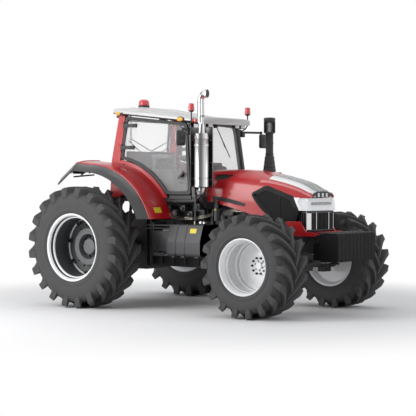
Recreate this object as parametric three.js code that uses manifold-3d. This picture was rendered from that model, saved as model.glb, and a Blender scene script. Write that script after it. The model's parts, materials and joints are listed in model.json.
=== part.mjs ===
// Four-wheel-drive farm tractor with cab, front weights and rear linkage.
// Millimetres, +X forward, +Y left, +Z up. Pieces are drawn with the rear axle at x = 0
// and the ground at z = 0; the last group centres them over the middle of the length.

import * as THREE from 'three';
import { mergeVertices } from 'three/addons/utils/BufferGeometryUtils.js';
import Module from 'manifold-3d';

const wasm = await Module();
wasm.setup();

// ---------- driving dimensions ----------

const seatGap = 0.3;            // between pieces that touch
const pinGap = 0.6;             // round a shaft that turns in its bore
const swingGap = 8;             // round panels and arms that move

const wheelBase = 3045;
const wheelSides = 24;          // facets of a wheel, one of them flat on the ground

const rearRadius = 925;
const rearWidth = 600;
const rearTrack = 2700;         // between the middles of the rear tyres
const rearSeatRadius = 484;
const rearFlangeRadius = 515;
const rearDiscY = 1165;         // outer face of the wheel disc
const rearHubRadius = 290;

const frontRadius = 732;
const frontWidth = 620;
const frontTrack = 2234;
const frontSeatRadius = 381;
const frontFlangeRadius = 404;
const frontDiscY = 995;
const frontHubRadius = 165;

const beadShare = 0.435;        // of a tyre's width, middle to bead
const rimWall = 14;
const rimLip = 16;
const discWall = 22;
const hubPlate = 40;            // flange behind the disc, on the shaft
const discDish = 12;            // the disc's rim stands this far outside its middle
const rearHubRing = 95;         // how far the hub's outer ring stands out of the disc
const rearHubCap = 70;
const frontHubRing = 6;
const frontHubCap = 26;

const kingpinY = 770;
const kingpinRadius = 26;
const knuckleRadius = 72;
const knuckleHeight = 250;
const yokeThick = 42;
const yokeReach = 150;          // yoke's web to the kingpin
const yokeWall = 40;
const yokeHalfX = 62;
const earPast = 38;             // yoke's ears beyond the kingpin
const steerArm = 205;           // kingpin to the steering rod's eye
const steerArmHalf = 28;
const steerArmRoot = 40;
const steerArmThick = 24;
const steerArmDrop = 60;        // below the wheel's axis
const steerEyeIn = 30;          // steering arm's eye inside the kingpin
const steerEyeRadius = 30;
const steerRodRadius = 17;
const steerRodDrop = 8;
const steerBarrelRadius = 38;
const steerBarrelHalf = 250;
const steerLugs = [120, 160];   // lugs of the steering cylinder, across
const axleTubeRadius = 95;
const axleBoxHalfX = 135;
const axleBoxHalfY = 190;
const axleBoxDrop = 125;
const frontShaftRadius = 48;
const frontHousingRadius = 112;
const frontHousingGap = 48;     // housing's end to the wheel disc's flange
const frontShaftStart = 110;    // outside the kingpin
const shaftRunout = 0.5;        // added to a wheel shaft's clearance
const rearShaftRadius = 62;
const rearShaftDepth = 120;     // stub shaft inside the axle housing
const trumpetRadius = 135;
const trumpetEndY = 985;
const trumpetCollar = 45;
const trumpetCollarWidth = 50;

const engineHalfWidth = 280;
const engineTop = 1840;
const engineBottom = 780;
const engineRearX = 1700;
const engineFrontGap = 300;     // front axle to the front of the engine
const sumpHalfWidth = 200;
const sumpHeight = 220;
const sumpRear = 60;            // ends of the engine to the ends of the sump
const sumpFront = 80;
const gearboxHalfWidth = 230;
const axleCaseHalfWidth = 260;
const axleCaseFront = 340;
const axleCaseGrow = 60;        // above and below the gearbox
const tankArmX = [110, 170];    // tank's rear end to the arm that carries it
const tankArmZ = [90, 190];     // above the tank's bottom
const gearboxTop = 1330;
const gearboxBottom = 600;

const carrierHalfWidth = 205;
const carrierTop = 1140;
const carrierBottom = 905;
const carrierFront = 380;       // ahead of the front axle
const radiatorGap = 130;        // engine to the radiator
const radiatorHalfWidth = 290;
const radiatorShare = 0.81;     // of the hood's length, to the radiator's front
const weightBracketHalf = 300;
const radiatorTop = 1790;

const weightHalfWidth = 507;
const weightBottom = 790;
const weightTop = 1197;
const weightRear = 640;         // ahead of the front axle
const weightFront = 1010;
const weightPlates = 10;
const weightGroove = 10;
const weightGrooveOut = 5;      // half width of a groove at the face
const weightGrooveIn = 3;

const bumperHalfWidth = 402;
const bumperWall = 26;
const bumperFloor = 20;
const bumperTop = 1352;
const bumperLipTop = 1204;
const bumperFront = 560;        // ahead of the front axle
const bumperRear = 45;
const bumperLip = 60;           // depth of the lip, front to back
const bumperLipIn = 110;        // cheeks to the ends of the lip

const hoodWall = 22;
const hoodRearX = 1672;
const hoodNose = 428;           // ahead of the front axle
const hoodHingeX = 1706;
const hoodHingeZ = 2030;
const hoodPinRadius = 11;
const hoodLugY = 215;

const floorZ = 1680;
const floorThick = 60;
const floorInset = 16;          // cab's side plane to the floor's edge
const sillZ = 1716;             // under the doors
const cabWall = 36;
const glassThick = 6;
const frameBar = 44;            // width of a door frame's bar
const cabBeam = { base: 906, perX: -0.066, perZ: -0.0709 };  // side plane: y = base + perX x + perZ z
const roofRearZ = 2985;         // underside of the roof at x = 0
const roofFall = 0.1125;        // how much it drops for each mm forward
const roofCrown = 3130;
const roofShoulder = 140;       // from the roof's side to where the crown starts
const eavesSlope = 0.1;
const doorRearX = 262;
const doorFrontTopX = 1440;
const hingeLowShare = 0.272;    // of the way up the door's rear edge
const hingeHighShare = 0.785;
const hingeHeight = 50;
const hingeOut = 20;            // outside the cab's side plane
const hingeBarrelRadius = 15;
const hingePinRadius = 7;
const doorFrontX = 1570;
const doorRearBottomX = 205;    // at the foot of the rear pillar
const pillarRearTopX = 142;
const pillarRearX = 30;
const pillarFrontTopX = 1512;
const pillarFrontX = 1650;
const pillarDepth = 66;         // front pillar, across
const rearPillarDepth = 86;
const rearSillDrop = 176;        // rear pillar's foot down to the rear window's sill

const seatRearX = 450;
const seatFrontX = 930;
const seatY = 255;
const seatZ = 1890;
const seatThick = 120;
const seatBackHeight = 400;
const pedestalHalf = 190;
const cabLegX = [400, 1250];    // rear edges of the legs under the floor
const cabLegSize = 120;
const cabLegHalf = 180;
const steerWheelRadius = 190;
const steerWheelRim = 16;
const steerWheelHub = [1160, 2330];
const columnFootX = 1225;
const columnRadius = 34;
const dashHalf = 290;
const firewallHalf = 395;
const firewallTop = 1965;
const firewallDrop = 240;       // below the cab floor

const fenderGap = 349;          // tyre to the underside of the fender's crown
const fenderWall = 26;
const doorRise = 62;            // fender's crown to the door's curved edge
const fenderStripY = 1200;
const fenderOuterY = 1345;
const fenderLowZ = 1366;
const fenderCornerX = -300;     // where the crown turns down to the tail
const fenderRise = 36;          // how much higher the crown is there than over the axle
const tailSlope = 36;           // degrees below level
const tailLength = 520;
const tailTrim = [[-476, 2300], [-560, 1885]];  // line along which the tail is cut off, as [x, z]

const tankRearX = 1280;
const tankFrontX = 1912;
const tankBottom = 812;
const tankTop = 1282;
const tankCrease = 1035;
const tankInnerY = 455;
const tankOuterY = 905;
const tankFoot = 20;            // bevel along the bottom edge
const tankSlant = 85;           // how far the upper side leans in
const stepHalf = 210;
const stepMiddle = 250;         // ahead of the box's rear end
const stepLowZ = 560;
const stepRise = 290;
const stepThick = 30;
const stepCheek = 14;
const stepDepth = 150;

const mufflerX = 1802;
const mufflerY = -718;
const mufflerRadius = 138;
const mufflerBottom = 1835;
const mufflerTop = 2690;
const mufflerCone = 120;        // cone on top of the can
const pipeRadius = 52;
const pipeTop = 3305;
const pipeBend = 200;           // from the top down to the bend
const elbowRadius = 50;
const elbowZ = 1566;            // where the elbow meets the engine

const intakeX = 2140;
const intakeY = 548;
const intakeRadius = 58;
const intakeCapRadius = 90;
const intakeCapHeight = 210;
const intakeBootRadius = 98;
const intakeBootZ = [2080, 2310];
const intakeLowZ = 1425;        // where the duct meets the engine
const intakeTop = 2912;

const mirrorY = 1049;
const mirrorZ = 2578;
const mirrorX = 1672;
const mirrorHead = { back: 34, front: 22, half: 92, below: 124, above: 100 };
const mirrorArmRadius = 14;
const mirrorArmZ = 2700;
const mirrorFootX = 1502;
const mirrorFootHalf = { x: 22, z: 45, out: 30 };
const beaconX = 1600;
const beaconY = 712;
const beaconZ = [2975, 3095];
const beaconRadius = 46;
const beaconStemRadius = 10;

const hitchX = -330;            // pivots of the lower links and of the lift arms
const hitchLowZ = 560;
const hitchHighZ = 1290;
const hitchDrop = 12;           // degrees below level as parked
const liftLength = 430;
const linkLength = 905;
const linkPivotY = 265;
const linkEndY = 435;
const linkThick = 36;
const linkHeight = 90;
const hitchPinRadius = 19;
const liftShaftRadius = 34;

// ---------- places that follow from them ----------

const frontX = wheelBase;
const rearZ = rearRadius;
const frontZ = frontRadius;
const engineFrontX = frontX - engineFrontGap;
const noseX = frontX + hoodNose;
const hoodLength = noseX - hoodRearX;
const hoodX = (share) => hoodRearX + share * hoodLength;
const crownRadius = rearRadius + fenderGap + fenderWall;
const doorArcRadius = crownRadius + doorRise;
const frontEnd = frontX + weightFront;
const linkEyeRadius = linkHeight / 2;
const rad = Math.PI / 180;
const rearEnd = hitchX - linkLength * Math.cos(hitchDrop * rad) - linkEyeRadius;
const middleX = (frontEnd + rearEnd) / 2;

// ---------- shaping helpers ----------

const at = (x, y, z) => new THREE.Vector3(x, y, z);

// A closed three.js geometry as a solid, with its faces turned outwards.
function solidOf(geometry) {
  const plain = geometry.clone();
  plain.deleteAttribute('normal');
  plain.deleteAttribute('uv');
  const merged = mergeVertices(plain, 0.001);
  const xyz = merged.attributes.position.array;
  const corner = (i) => at(xyz[3 * i], xyz[3 * i + 1], xyz[3 * i + 2]);
  const faces = [];
  let volume = 0;
  for (let i = 0; i < merged.index.count; i += 3) {
    const [a, b, c] = [0, 1, 2].map((k) => merged.index.getX(i + k));
    if (a === b || b === c || c === a) continue;
    faces.push(a, b, c);
    volume += corner(a).dot(corner(b).cross(corner(c)));
  }
  if (volume < 0) {
    for (let i = 0; i < faces.length; i += 3) {
      [faces[i], faces[i + 1]] = [faces[i + 1], faces[i]];
    }
  }
  const mesh = { numProp: 3, vertProperties: new Float32Array(xyz), triVerts: new Uint32Array(faces) };
  return new wasm.Manifold(new wasm.Mesh(mesh));
}

const join = (...solids) => solids.reduce((sum, next) => sum.add(next));
const cut = (solid, ...tools) => tools.reduce((rest, tool) => rest.subtract(tool), solid);

function box(x0, x1, y0, y1, z0, z1) {
  const geometry = new THREE.BoxGeometry(Math.abs(x1 - x0), Math.abs(y1 - y0), Math.abs(z1 - z0));
  return solidOf(geometry.translate((x0 + x1) / 2, (y0 + y1) / 2, (z0 + z1) / 2));
}

// A box on one side of the tractor: side is 1 on the left and -1 on the right.
const sideBox = (side, x0, x1, y0, y1, z0, z1) => box(x0, x1, side * y0, side * y1, z0, z1);

function shapeOf(outline) {
  return new THREE.Shape(outline.map(([a, b]) => new THREE.Vector2(a, b)));
}

// An outline of [x, z] points carried across from y0 to y1.
function acrossY(outline, y0, y1) {
  const depth = Math.abs(y1 - y0);
  const geometry = new THREE.ExtrudeGeometry(shapeOf(outline), { depth, bevelEnabled: false });
  geometry.rotateX(Math.PI / 2);
  return solidOf(geometry.translate(0, Math.max(y0, y1), 0));
}

// An outline of [y, z] points carried along from x0 to x1.
function alongX(outline, x0, x1) {
  const geometry = new THREE.ExtrudeGeometry(shapeOf(outline), { depth: x1 - x0, bevelEnabled: false });
  geometry.applyMatrix4(new THREE.Matrix4().makeBasis(at(0, 1, 0), at(0, 0, 1), at(1, 0, 0)));
  return solidOf(geometry.translate(x0, 0, 0));
}

// An outline of [x, y] points carried up from z0 to z1.
function upZ(outline, z0, z1) {
  const geometry = new THREE.ExtrudeGeometry(shapeOf(outline), { depth: z1 - z0, bevelEnabled: false });
  return solidOf(geometry.translate(0, 0, z0));
}

function rod(from, to, radius, sides = 16, radiusEnd = radius) {
  const along = to.clone().sub(from);
  const geometry = new THREE.CylinderGeometry(radiusEnd, radius, along.length(), sides);
  geometry.translate(0, along.length() / 2, 0);
  const turn = new THREE.Quaternion().setFromUnitVectors(at(0, 1, 0), along.clone().normalize());
  geometry.applyMatrix4(new THREE.Matrix4().compose(from, turn, at(1, 1, 1)));
  return solidOf(geometry);
}

// A round tube along a smooth curve through the points.
function tube(points, radius, sides, steps) {
  const circle = new THREE.Shape();
  for (let i = 0; i < sides; i += 1) {
    const angle = (2 * Math.PI * i) / sides;
    const [a, b] = [radius * Math.cos(angle), radius * Math.sin(angle)];
    if (i === 0) circle.moveTo(a, b);
    else circle.lineTo(a, b);
  }
  const extrudePath = new THREE.CatmullRomCurve3(points, false, 'centripetal');
  return solidOf(new THREE.ExtrudeGeometry(circle, { steps, extrudePath, bevelEnabled: false }));
}

// A closed profile of [radius, y] points turned about a line along Y, a flat facet at the bottom.
function turned(profile, x, z, sides) {
  const points = profile.map(([r, y]) => new THREE.Vector2(r, y));
  const geometry = new THREE.LatheGeometry(points, sides);
  geometry.rotateY(Math.PI / sides);
  return solidOf(geometry.translate(x, 0, z));
}

// A closed skin through rings of corners, one ring at each station, with flat ends.
function loft(rings, flat) {
  const corners = [];
  const index = [];
  const size = rings[0].length;
  rings.forEach((ring) => ring.forEach((p) => corners.push(p.x, p.y, p.z)));
  for (let s = 0; s + 1 < rings.length; s += 1) {
    for (let i = 0; i < size; i += 1) {
      const a = s * size + i;
      const b = s * size + ((i + 1) % size);
      index.push(a, b, b + size, a, b + size, a + size);
    }
  }
  // An end is closed by triangles that run round with its ring, or against it at the start.
  const close = (ring, first, forward) => {
    const plan = ring.map(flat);
    const way = Math.sign(THREE.ShapeUtils.area(plan)) * (forward ? 1 : -1);
    THREE.ShapeUtils.triangulateShape(plan, []).forEach((face) => {
      const turn = Math.sign(THREE.ShapeUtils.area(face.map((i) => plan[i])));
      const order = turn === way ? face : [...face].reverse();
      index.push(...order.map((i) => first + i));
    });
  };
  close(rings[0], 0, false);
  close(rings[rings.length - 1], (rings.length - 1) * size, true);
  const geometry = new THREE.BufferGeometry();
  geometry.setAttribute('position', new THREE.Float32BufferAttribute(corners, 3));
  geometry.setIndex(index);
  return solidOf(geometry);
}

// An outline drawn in smaller by the same distance at every edge.
function inset(outline, distance) {
  const clockwise = THREE.ShapeUtils.area(outline.map(([x, y]) => ({ x, y }))) < 0 ? -1 : 1;
  const edges = outline.map(([x0, y0], i) => {
    const [x1, y1] = outline[(i + 1) % outline.length];
    const length = Math.hypot(x1 - x0, y1 - y0);
    const [nx, ny] = [(-clockwise * (y1 - y0)) / length, (clockwise * (x1 - x0)) / length];
    return { nx, ny, d: nx * x0 + ny * y0 + distance };
  });
  return outline.map((_, i) => {
    const a = edges[(i + outline.length - 1) % outline.length];
    const b = edges[i];
    const cross = a.nx * b.ny - a.ny * b.nx;
    return [(a.d * b.ny - b.d * a.ny) / cross, (b.d * a.nx - a.d * b.nx) / cross];
  });
}

// Points on an arc about [x, z], from one angle to another in degrees.
function arc(x, z, radius, from, to, steps) {
  const points = [];
  for (let i = 0; i <= steps; i += 1) {
    const angle = (from + ((to - from) * i) / steps) * rad;
    points.push([x + radius * Math.cos(angle), z + radius * Math.sin(angle)]);
  }
  return points;
}

// ---------- materials ----------

function finish(color, roughness, metalness, opacity = 1) {
  return new THREE.MeshStandardMaterial({
    color, roughness, metalness, opacity, transparent: opacity < 1,
  });
}

const redPaint = finish(0xc4161c, 0.25, 0);
const roofPaint = finish(0xcfd2d2, 0.35, 0);
const castIron = finish(0x2a2b2d, 0.6, 0.3);
const blackPaint = finish(0x17181a, 0.45, 0.1);
const blackPlastic = finish(0x202224, 0.6, 0);
const tyreRubber = finish(0x3c3e40, 0.8, 0);
const whiteRim = finish(0xe8e9ea, 0.3, 0.2);
const darkRim = finish(0x3a3c3f, 0.45, 0.3);
const clearGlass = finish(0xb9c4c6, 0.05, 0, 0.35);
const lampGlass = finish(0xe6ecef, 0.08, 0, 0.6);
const chromeSteel = finish(0xc9cdd0, 0.15, 1);
const seatCloth = finish(0x2c2e31, 0.9, 0);

const tractor = new THREE.Group();

function place(name, solid, material) {
  const { numProp, vertProperties, triVerts } = solid.getMesh();
  const geometry = new THREE.BufferGeometry();
  const position = new Float32Array((vertProperties.length / numProp) * 3);
  for (let i = 0; i * numProp < vertProperties.length; i += 1) {
    position.set(vertProperties.subarray(i * numProp, i * numProp + 3), 3 * i);
  }
  geometry.setAttribute('position', new THREE.BufferAttribute(position, 3));
  geometry.setIndex(new THREE.BufferAttribute(new Uint32Array(triVerts), 1));
  geometry.computeVertexNormals();
  const mesh = new THREE.Mesh(geometry, material);
  mesh.name = name;
  tractor.add(mesh);
}

const sides = [['left', 1], ['right', -1]];

// ---------- wheels ----------

// A tyre's section about its own middle: bead, sidewall, shoulder, tread.
function tyreProfile(radius, width, seat, flange, middleY) {
  const crown = radius / Math.cos(Math.PI / wheelSides);
  const bead = beadShare * width - seatGap;
  const half = [
    [seat, bead],
    [flange + seatGap, bead],
    [flange + 0.35 * (radius - flange), 0.5 * width],
    [flange + 0.72 * (radius - flange), 0.49 * width],
    [crown - 0.035 * radius, 0.455 * width],
    [crown, 0.38 * width],
  ];
  const outer = half.map(([r, y]) => [r, middleY + y]);
  const inner = half.map(([r, y]) => [r, middleY - y]).reverse();
  return [...outer, ...inner, outer[0]];
}

// A rim's section in one piece with its disc, hub and stub shaft, which ends at shaftY.
function rimProfile(o) {
  const lipOut = o.middleY + beadShare * o.width;
  const lipIn = o.middleY - beadShare * o.width;
  const barrel = o.seat - seatGap;
  const inside = barrel - rimWall;
  const { flange, discY, hub } = o;
  const [boss, ringIn, cap] = [0.6 * hub, 0.66 * hub, 0.42 * hub];
  return [
    [0, o.shaftY], [o.shaft, o.shaftY], [o.shaft, discY - discWall - hubPlate],
    [boss, discY - discWall - hubPlate], [boss, discY - discWall],
    [inside, discY - discWall - 1.5 * discDish], [inside, lipIn - rimLip], [flange, lipIn - rimLip],
    [flange, lipIn], [barrel, lipIn], [barrel, lipOut], [flange, lipOut],
    [flange, lipOut + rimLip], [inside, lipOut + rimLip], [inside, discY + discDish],
    [hub, discY], [hub, discY + o.ring], [ringIn, discY + o.ring], [ringIn, discY - discDish / 3],
    [cap, discY - discDish / 3], [cap, discY + o.cap], [0, discY + o.cap],
  ];
}

const mirrored = (profile, side) => profile.map(([r, y]) => [r, side * y]);

sides.forEach(([name, side]) => {
  const rearTyre = tyreProfile(rearRadius, rearWidth, rearSeatRadius, rearFlangeRadius, rearTrack / 2);
  place(`rear_tyre_${name}`, turned(mirrored(rearTyre, side), 0, rearZ, wheelSides), tyreRubber);
  const rearRim = rimProfile({
    middleY: rearTrack / 2, width: rearWidth, seat: rearSeatRadius, flange: rearFlangeRadius,
    discY: rearDiscY, hub: rearHubRadius, shaft: rearShaftRadius, shaftY: trumpetEndY - rearShaftDepth,
    ring: rearHubRing, cap: rearHubCap,
  });
  place(`rear_rim_${name}`, turned(mirrored(rearRim, side), 0, rearZ, wheelSides), darkRim);
  const frontTyre = tyreProfile(
    frontRadius, frontWidth, frontSeatRadius, frontFlangeRadius, frontTrack / 2,
  );
  const frontTyreSolid = turned(mirrored(frontTyre, side), frontX, frontZ, wheelSides);
  place(`front_tyre_${name}`, frontTyreSolid, tyreRubber);
  const frontRim = rimProfile({
    middleY: frontTrack / 2, width: frontWidth, seat: frontSeatRadius, flange: frontFlangeRadius,
    discY: frontDiscY, hub: frontHubRadius, shaft: frontShaftRadius,
    shaftY: kingpinY + frontShaftStart, ring: frontHubRing, cap: frontHubCap,
  });
  place(`front_rim_${name}`, turned(mirrored(frontRim, side), frontX, frontZ, wheelSides), whiteRim);
});

// ---------- front axle and steering ----------

const yokeIn = kingpinY - yokeReach;
const earHalf = knuckleHeight / 2;

function axleBeam() {
  const middle = box(
    frontX - axleBoxHalfX, frontX + axleBoxHalfX, -axleBoxHalfY, axleBoxHalfY,
    frontZ - axleBoxDrop, carrierBottom - seatGap,
  );
  const beamEnd = yokeIn + yokeWall / 2;
  const beam = rod(at(frontX, -beamEnd, frontZ), at(frontX, beamEnd, frontZ), axleTubeRadius, 16);
  let solid = join(middle, beam);
  sides.forEach(([, side]) => {
    const web = sideBox(
      side, frontX - yokeHalfX, frontX + yokeHalfX, yokeIn, yokeIn + yokeWall,
      frontZ - earHalf - yokeThick, frontZ + earHalf + yokeThick,
    );
    solid = solid.add(web);
    [frontZ + earHalf, frontZ - earHalf - yokeThick].forEach((z) => {
      const ear = sideBox(
        side, frontX - yokeHalfX, frontX + yokeHalfX, yokeIn, kingpinY + earPast, z, z + yokeThick,
      );
      const bore = rod(
        at(frontX, side * kingpinY, z - 1), at(frontX, side * kingpinY, z + yokeThick + 1),
        kingpinRadius + pinGap, 20,
      );
      solid = solid.add(ear).subtract(bore);
    });
  });
  return solid;
}
place('front_axle_beam', axleBeam(), castIron);

sides.forEach(([name, side]) => {
  const y = side * kingpinY;
  const half = earHalf - 6;
  const barrel = rod(at(frontX, y, frontZ - half), at(frontX, y, frontZ + half), knuckleRadius, 20);
  const pin = rod(
    at(frontX, y, frontZ - earHalf - yokeThick + 4), at(frontX, y, frontZ + earHalf + yokeThick - 4),
    kingpinRadius, 20,
  );
  const hubEnd = side * (frontDiscY - discWall - frontHousingGap);
  const hub = rod(at(frontX, y, frontZ), at(frontX, hubEnd, frontZ), frontHousingRadius, 20);
  const bore = rod(
    at(frontX, side * (kingpinY + frontShaftStart - 10), frontZ), at(frontX, hubEnd + side, frontZ),
    frontShaftRadius + pinGap + shaftRunout, 20,
  );
  const armZ = frontZ - steerArmDrop;
  const [armStart, armEnd] = [frontX + 30, frontX + steerArm + steerArmHalf];
  const armY = y - side * steerEyeIn;
  const arm = upZ([
    [armStart, y - steerArmRoot], [armEnd, armY - steerArmHalf],
    [armEnd, armY + steerArmHalf], [armStart, y + steerArmRoot],
  ], armZ, armZ + steerArmThick);
  place(`steering_knuckle_${name}`, cut(join(barrel, pin, hub, arm), bore), castIron);
});

const rodX = frontX + steerArm;
const rodZ = frontZ - steerRodDrop;
const eyeY = kingpinY - steerEyeIn;

function steeringCylinder() {
  const end = steerBarrelHalf;
  let solid = rod(at(rodX, -end, rodZ), at(rodX, end, rodZ), steerBarrelRadius, 20);
  sides.forEach(([, side]) => {
    const lug = sideBox(
      side, frontX + axleBoxHalfX + seatGap, rodX, ...steerLugs, rodZ - steerEyeRadius,
      rodZ + steerEyeRadius,
    );
    solid = solid.add(lug);
  });
  const bore = rod(at(rodX, -end - 1, rodZ), at(rodX, end + 1, rodZ), steerRodRadius + pinGap, 16);
  return cut(solid, bore);
}
place('steering_cylinder', steeringCylinder(), castIron);

function steeringRod() {
  let solid = rod(at(rodX, -eyeY, rodZ), at(rodX, eyeY, rodZ), steerRodRadius, 16);
  sides.forEach(([, side]) => {
    const y = side * eyeY;
    solid = solid.add(rod(at(rodX, y, rodZ - 22), at(rodX, y, rodZ + 26), steerEyeRadius, 16));
  });
  return solid;
}
place('steering_rod', steeringRod(), chromeSteel);

// ---------- chassis ----------

place('engine_block', join(
  box(engineRearX, engineFrontX, -engineHalfWidth, engineHalfWidth, engineBottom + sumpHeight, engineTop),
  box(
    engineRearX + sumpRear, engineFrontX - sumpFront, -sumpHalfWidth, sumpHalfWidth, engineBottom,
    engineBottom + sumpHeight + 1,
  ),
), castIron);

const axleCaseRear = hitchX + 60;
function transmission() {
  const gearbox = box(
    axleCaseFront - 10, engineRearX - seatGap, -gearboxHalfWidth, gearboxHalfWidth, gearboxBottom,
    gearboxTop,
  );
  const rearBox = box(
    axleCaseRear, axleCaseFront, -axleCaseHalfWidth, axleCaseHalfWidth, gearboxBottom - axleCaseGrow,
    gearboxTop + axleCaseGrow,
  );
  let solid = join(gearbox, rearBox);
  sides.forEach(([, side]) => {
    const trumpet = rod(at(0, side * 200, rearZ), at(0, side * trumpetEndY, rearZ), trumpetRadius, 20);
    const collar = rod(
      at(0, side * (trumpetEndY - trumpetCollarWidth), rearZ), at(0, side * trumpetEndY, rearZ),
      trumpetRadius + trumpetCollar, 20,
    );
    const bore = rod(
      at(0, side * (trumpetEndY - rearShaftDepth - 10), rearZ), at(0, side * (trumpetEndY + 1), rearZ),
      rearShaftRadius + pinGap + shaftRunout, 20,
    );
    const tankArm = sideBox(
      side, tankRearX + tankArmX[0], tankRearX + tankArmX[1], gearboxHalfWidth - 5,
      tankInnerY - seatGap, tankBottom + tankArmZ[0], tankBottom + tankArmZ[1],
    );
    solid = cut(join(solid, trumpet, collar, tankArm), bore);
  });
  return solid;
}

// Lugs behind the axle housing that carry the pins of the lower links and the lift shaft.
function hitchLugs() {
  const lugs = [];
  sides.forEach(([, side]) => {
    const low = sideBox(
      side, hitchX - 45, hitchX + 62, linkPivotY - 62, linkPivotY - linkThick / 2 - 6,
      hitchLowZ - 50, hitchLowZ + 50,
    );
    const pin = rod(
      at(hitchX, side * (linkPivotY - 40), hitchLowZ),
      at(hitchX, side * (linkPivotY + linkThick / 2 + 8), hitchLowZ), hitchPinRadius, 16,
    );
    const high = sideBox(
      side, hitchX - 60, hitchX + 62, 95, 135, hitchHighZ - 55, hitchHighZ + 55,
    );
    lugs.push(join(low, pin), high);
  });
  return lugs;
}

const liftBore = rod(at(hitchX, -140, hitchHighZ), at(hitchX, 140, hitchHighZ), liftShaftRadius + pinGap, 20);
const drawbar = join(
  box(hitchX - 420, hitchX + 200, -45, 45, gearboxBottom - 130, gearboxBottom - 90),
  box(hitchX + 40, hitchX + 160, -110, 110, gearboxBottom - 100, gearboxBottom - 50),
);
place('transmission_housing', cut(join(transmission(), ...hitchLugs(), drawbar), liftBore), castIron);

function frontFrame() {
  const rearX = engineFrontX + seatGap;
  const carrier = box(
    rearX, frontX + carrierFront, -carrierHalfWidth, carrierHalfWidth, carrierBottom, carrierTop,
  );
  const bracket = box(
    frontX + carrierFront - 10, frontX + weightRear - seatGap, -weightBracketHalf, weightBracketHalf,
    weightBottom + 100, carrierTop,
  );
  const radiator = box(
    engineFrontX + radiatorGap, hoodX(radiatorShare), -radiatorHalfWidth, radiatorHalfWidth,
    carrierTop - 5, radiatorTop,
  );
  return join(carrier, bracket, radiator);
}
place('front_frame', frontFrame(), castIron);

function weights() {
  const outline = [[frontX + weightRear, -weightHalfWidth], [frontX + weightFront, -weightHalfWidth]];
  const pitch = (2 * weightHalfWidth) / weightPlates;
  for (let i = 1; i < weightPlates; i += 1) {
    const y = -weightHalfWidth + pitch * i;
    const face = frontX + weightFront;
    outline.push(
      [face, y - weightGrooveOut], [face - weightGroove, y - weightGrooveIn],
      [face - weightGroove, y + weightGrooveIn], [face, y + weightGrooveOut],
    );
  }
  outline.push([frontX + weightFront, weightHalfWidth], [frontX + weightRear, weightHalfWidth]);
  return upZ(outline, weightBottom, weightTop);
}
place('front_weights', weights(), blackPaint);

function bumper() {
  const rearX = frontX + bumperRear;
  const floor = box(
    rearX + 120, frontX + bumperFront, -bumperHalfWidth + 2, bumperHalfWidth - 2,
    carrierTop + seatGap, carrierTop + seatGap + bumperFloor,
  );
  const cheek = [
    [rearX, bumperTop], [rearX + 60, bumperTop - 120], [rearX + 190, carrierTop + seatGap],
    [frontX + bumperFront - bumperLip, carrierTop + seatGap], [frontX + bumperFront, bumperLipTop - 20],
    [frontX + bumperFront - 75, bumperLipTop], [frontX + 395, bumperLipTop],
    [frontX + 300, bumperTop],
  ];
  const lip = box(
    frontX + bumperFront - bumperLip, frontX + bumperFront, -bumperHalfWidth + bumperLipIn,
    bumperHalfWidth - bumperLipIn,
    carrierTop + seatGap, bumperLipTop,
  );
  let solid = join(floor, lip);
  sides.forEach(([, side]) => {
    solid = solid.add(acrossY(cheek, side * (bumperHalfWidth - bumperWall), side * bumperHalfWidth));
  });
  return solid;
}
place('front_bumper', bumper(), redPaint);

// Tank under the right door, battery box with its steps under the left one.
const tankOutline = [
  [tankInnerY, tankBottom], [tankOuterY - tankFoot, tankBottom], [tankOuterY, tankBottom + tankFoot],
  [tankOuterY, tankCrease], [tankOuterY - tankSlant, tankTop], [tankInnerY, tankTop],
];
const onRight = tankOutline.map(([y, z]) => [-y, z]);
place('fuel_tank', alongX(onRight, tankRearX, tankFrontX), blackPaint);

function batteryBox() {
  const boxY = tankOuterY - 160;
  const body = box(tankRearX, tankFrontX - 60, tankInnerY, boxY, tankBottom + 60, tankTop - 60);
  let solid = body;
  const middle = tankRearX + stepMiddle;
  for (let i = 0; i < 3; i += 1) {
    const z = stepLowZ + stepRise * i;
    solid = solid.add(box(
      middle - stepHalf, middle + stepHalf, boxY - 20 - 30 * i, boxY + stepDepth - 40 * i, z, z + stepThick,
    ));
  }
  const cheekTop = stepLowZ + 2 * stepRise + stepThick + 20;
  [-stepHalf, stepHalf - stepCheek].forEach((dx) => {
    const cheek = alongX([
      [boxY - 20, stepLowZ], [boxY + stepDepth, stepLowZ], [boxY + 60, cheekTop], [boxY - 80, cheekTop],
    ], middle + dx, middle + dx + stepCheek);
    solid = solid.add(cheek);
  });
  return solid;
}
place('battery_box_steps', batteryBox(), blackPaint);

// ---------- cab ----------

// Tips a piece drawn at y = 0 into the cab's side plane; positive y is outside it.
function leaned(solid, side) {
  const { numProp, vertProperties, triVerts } = solid.getMesh();
  const geometry = new THREE.BufferGeometry();
  const corners = [];
  for (let i = 0; i < vertProperties.length; i += numProp) {
    const [x, y, z] = vertProperties.subarray(i, i + 3);
    corners.push(x, side * (cabBeam.base + cabBeam.perX * x + cabBeam.perZ * z + y), z);
  }
  geometry.setAttribute('position', new THREE.Float32BufferAttribute(corners, 3));
  geometry.setIndex([...triVerts]);
  return solidOf(geometry);
}
const planeY = (x, z) => cabBeam.base + cabBeam.perX * x + cabBeam.perZ * z;
const roofZ = (x) => roofRearZ - roofFall * x;
const angleAtX = (x, radius) => Math.acos(x / radius) / rad;

// Where the door's curved edge starts, above the sill.
const doorLowX = Math.sqrt(doorArcRadius ** 2 - (sillZ + 8 - rearZ) ** 2);
const doorArcTop = angleAtX(doorRearBottomX, doorArcRadius);
const doorArcLow = angleAtX(doorLowX, doorArcRadius);
const doorOutline = [
  [doorRearX, roofZ(doorRearX) - swingGap], [doorFrontTopX, roofZ(doorFrontTopX) - swingGap],
  [doorFrontX, sillZ + swingGap],
  ...arc(0, rearZ, doorArcRadius, doorArcLow, doorArcTop, 8),
];
const paneOutline = inset(doorOutline, frameBar);

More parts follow.
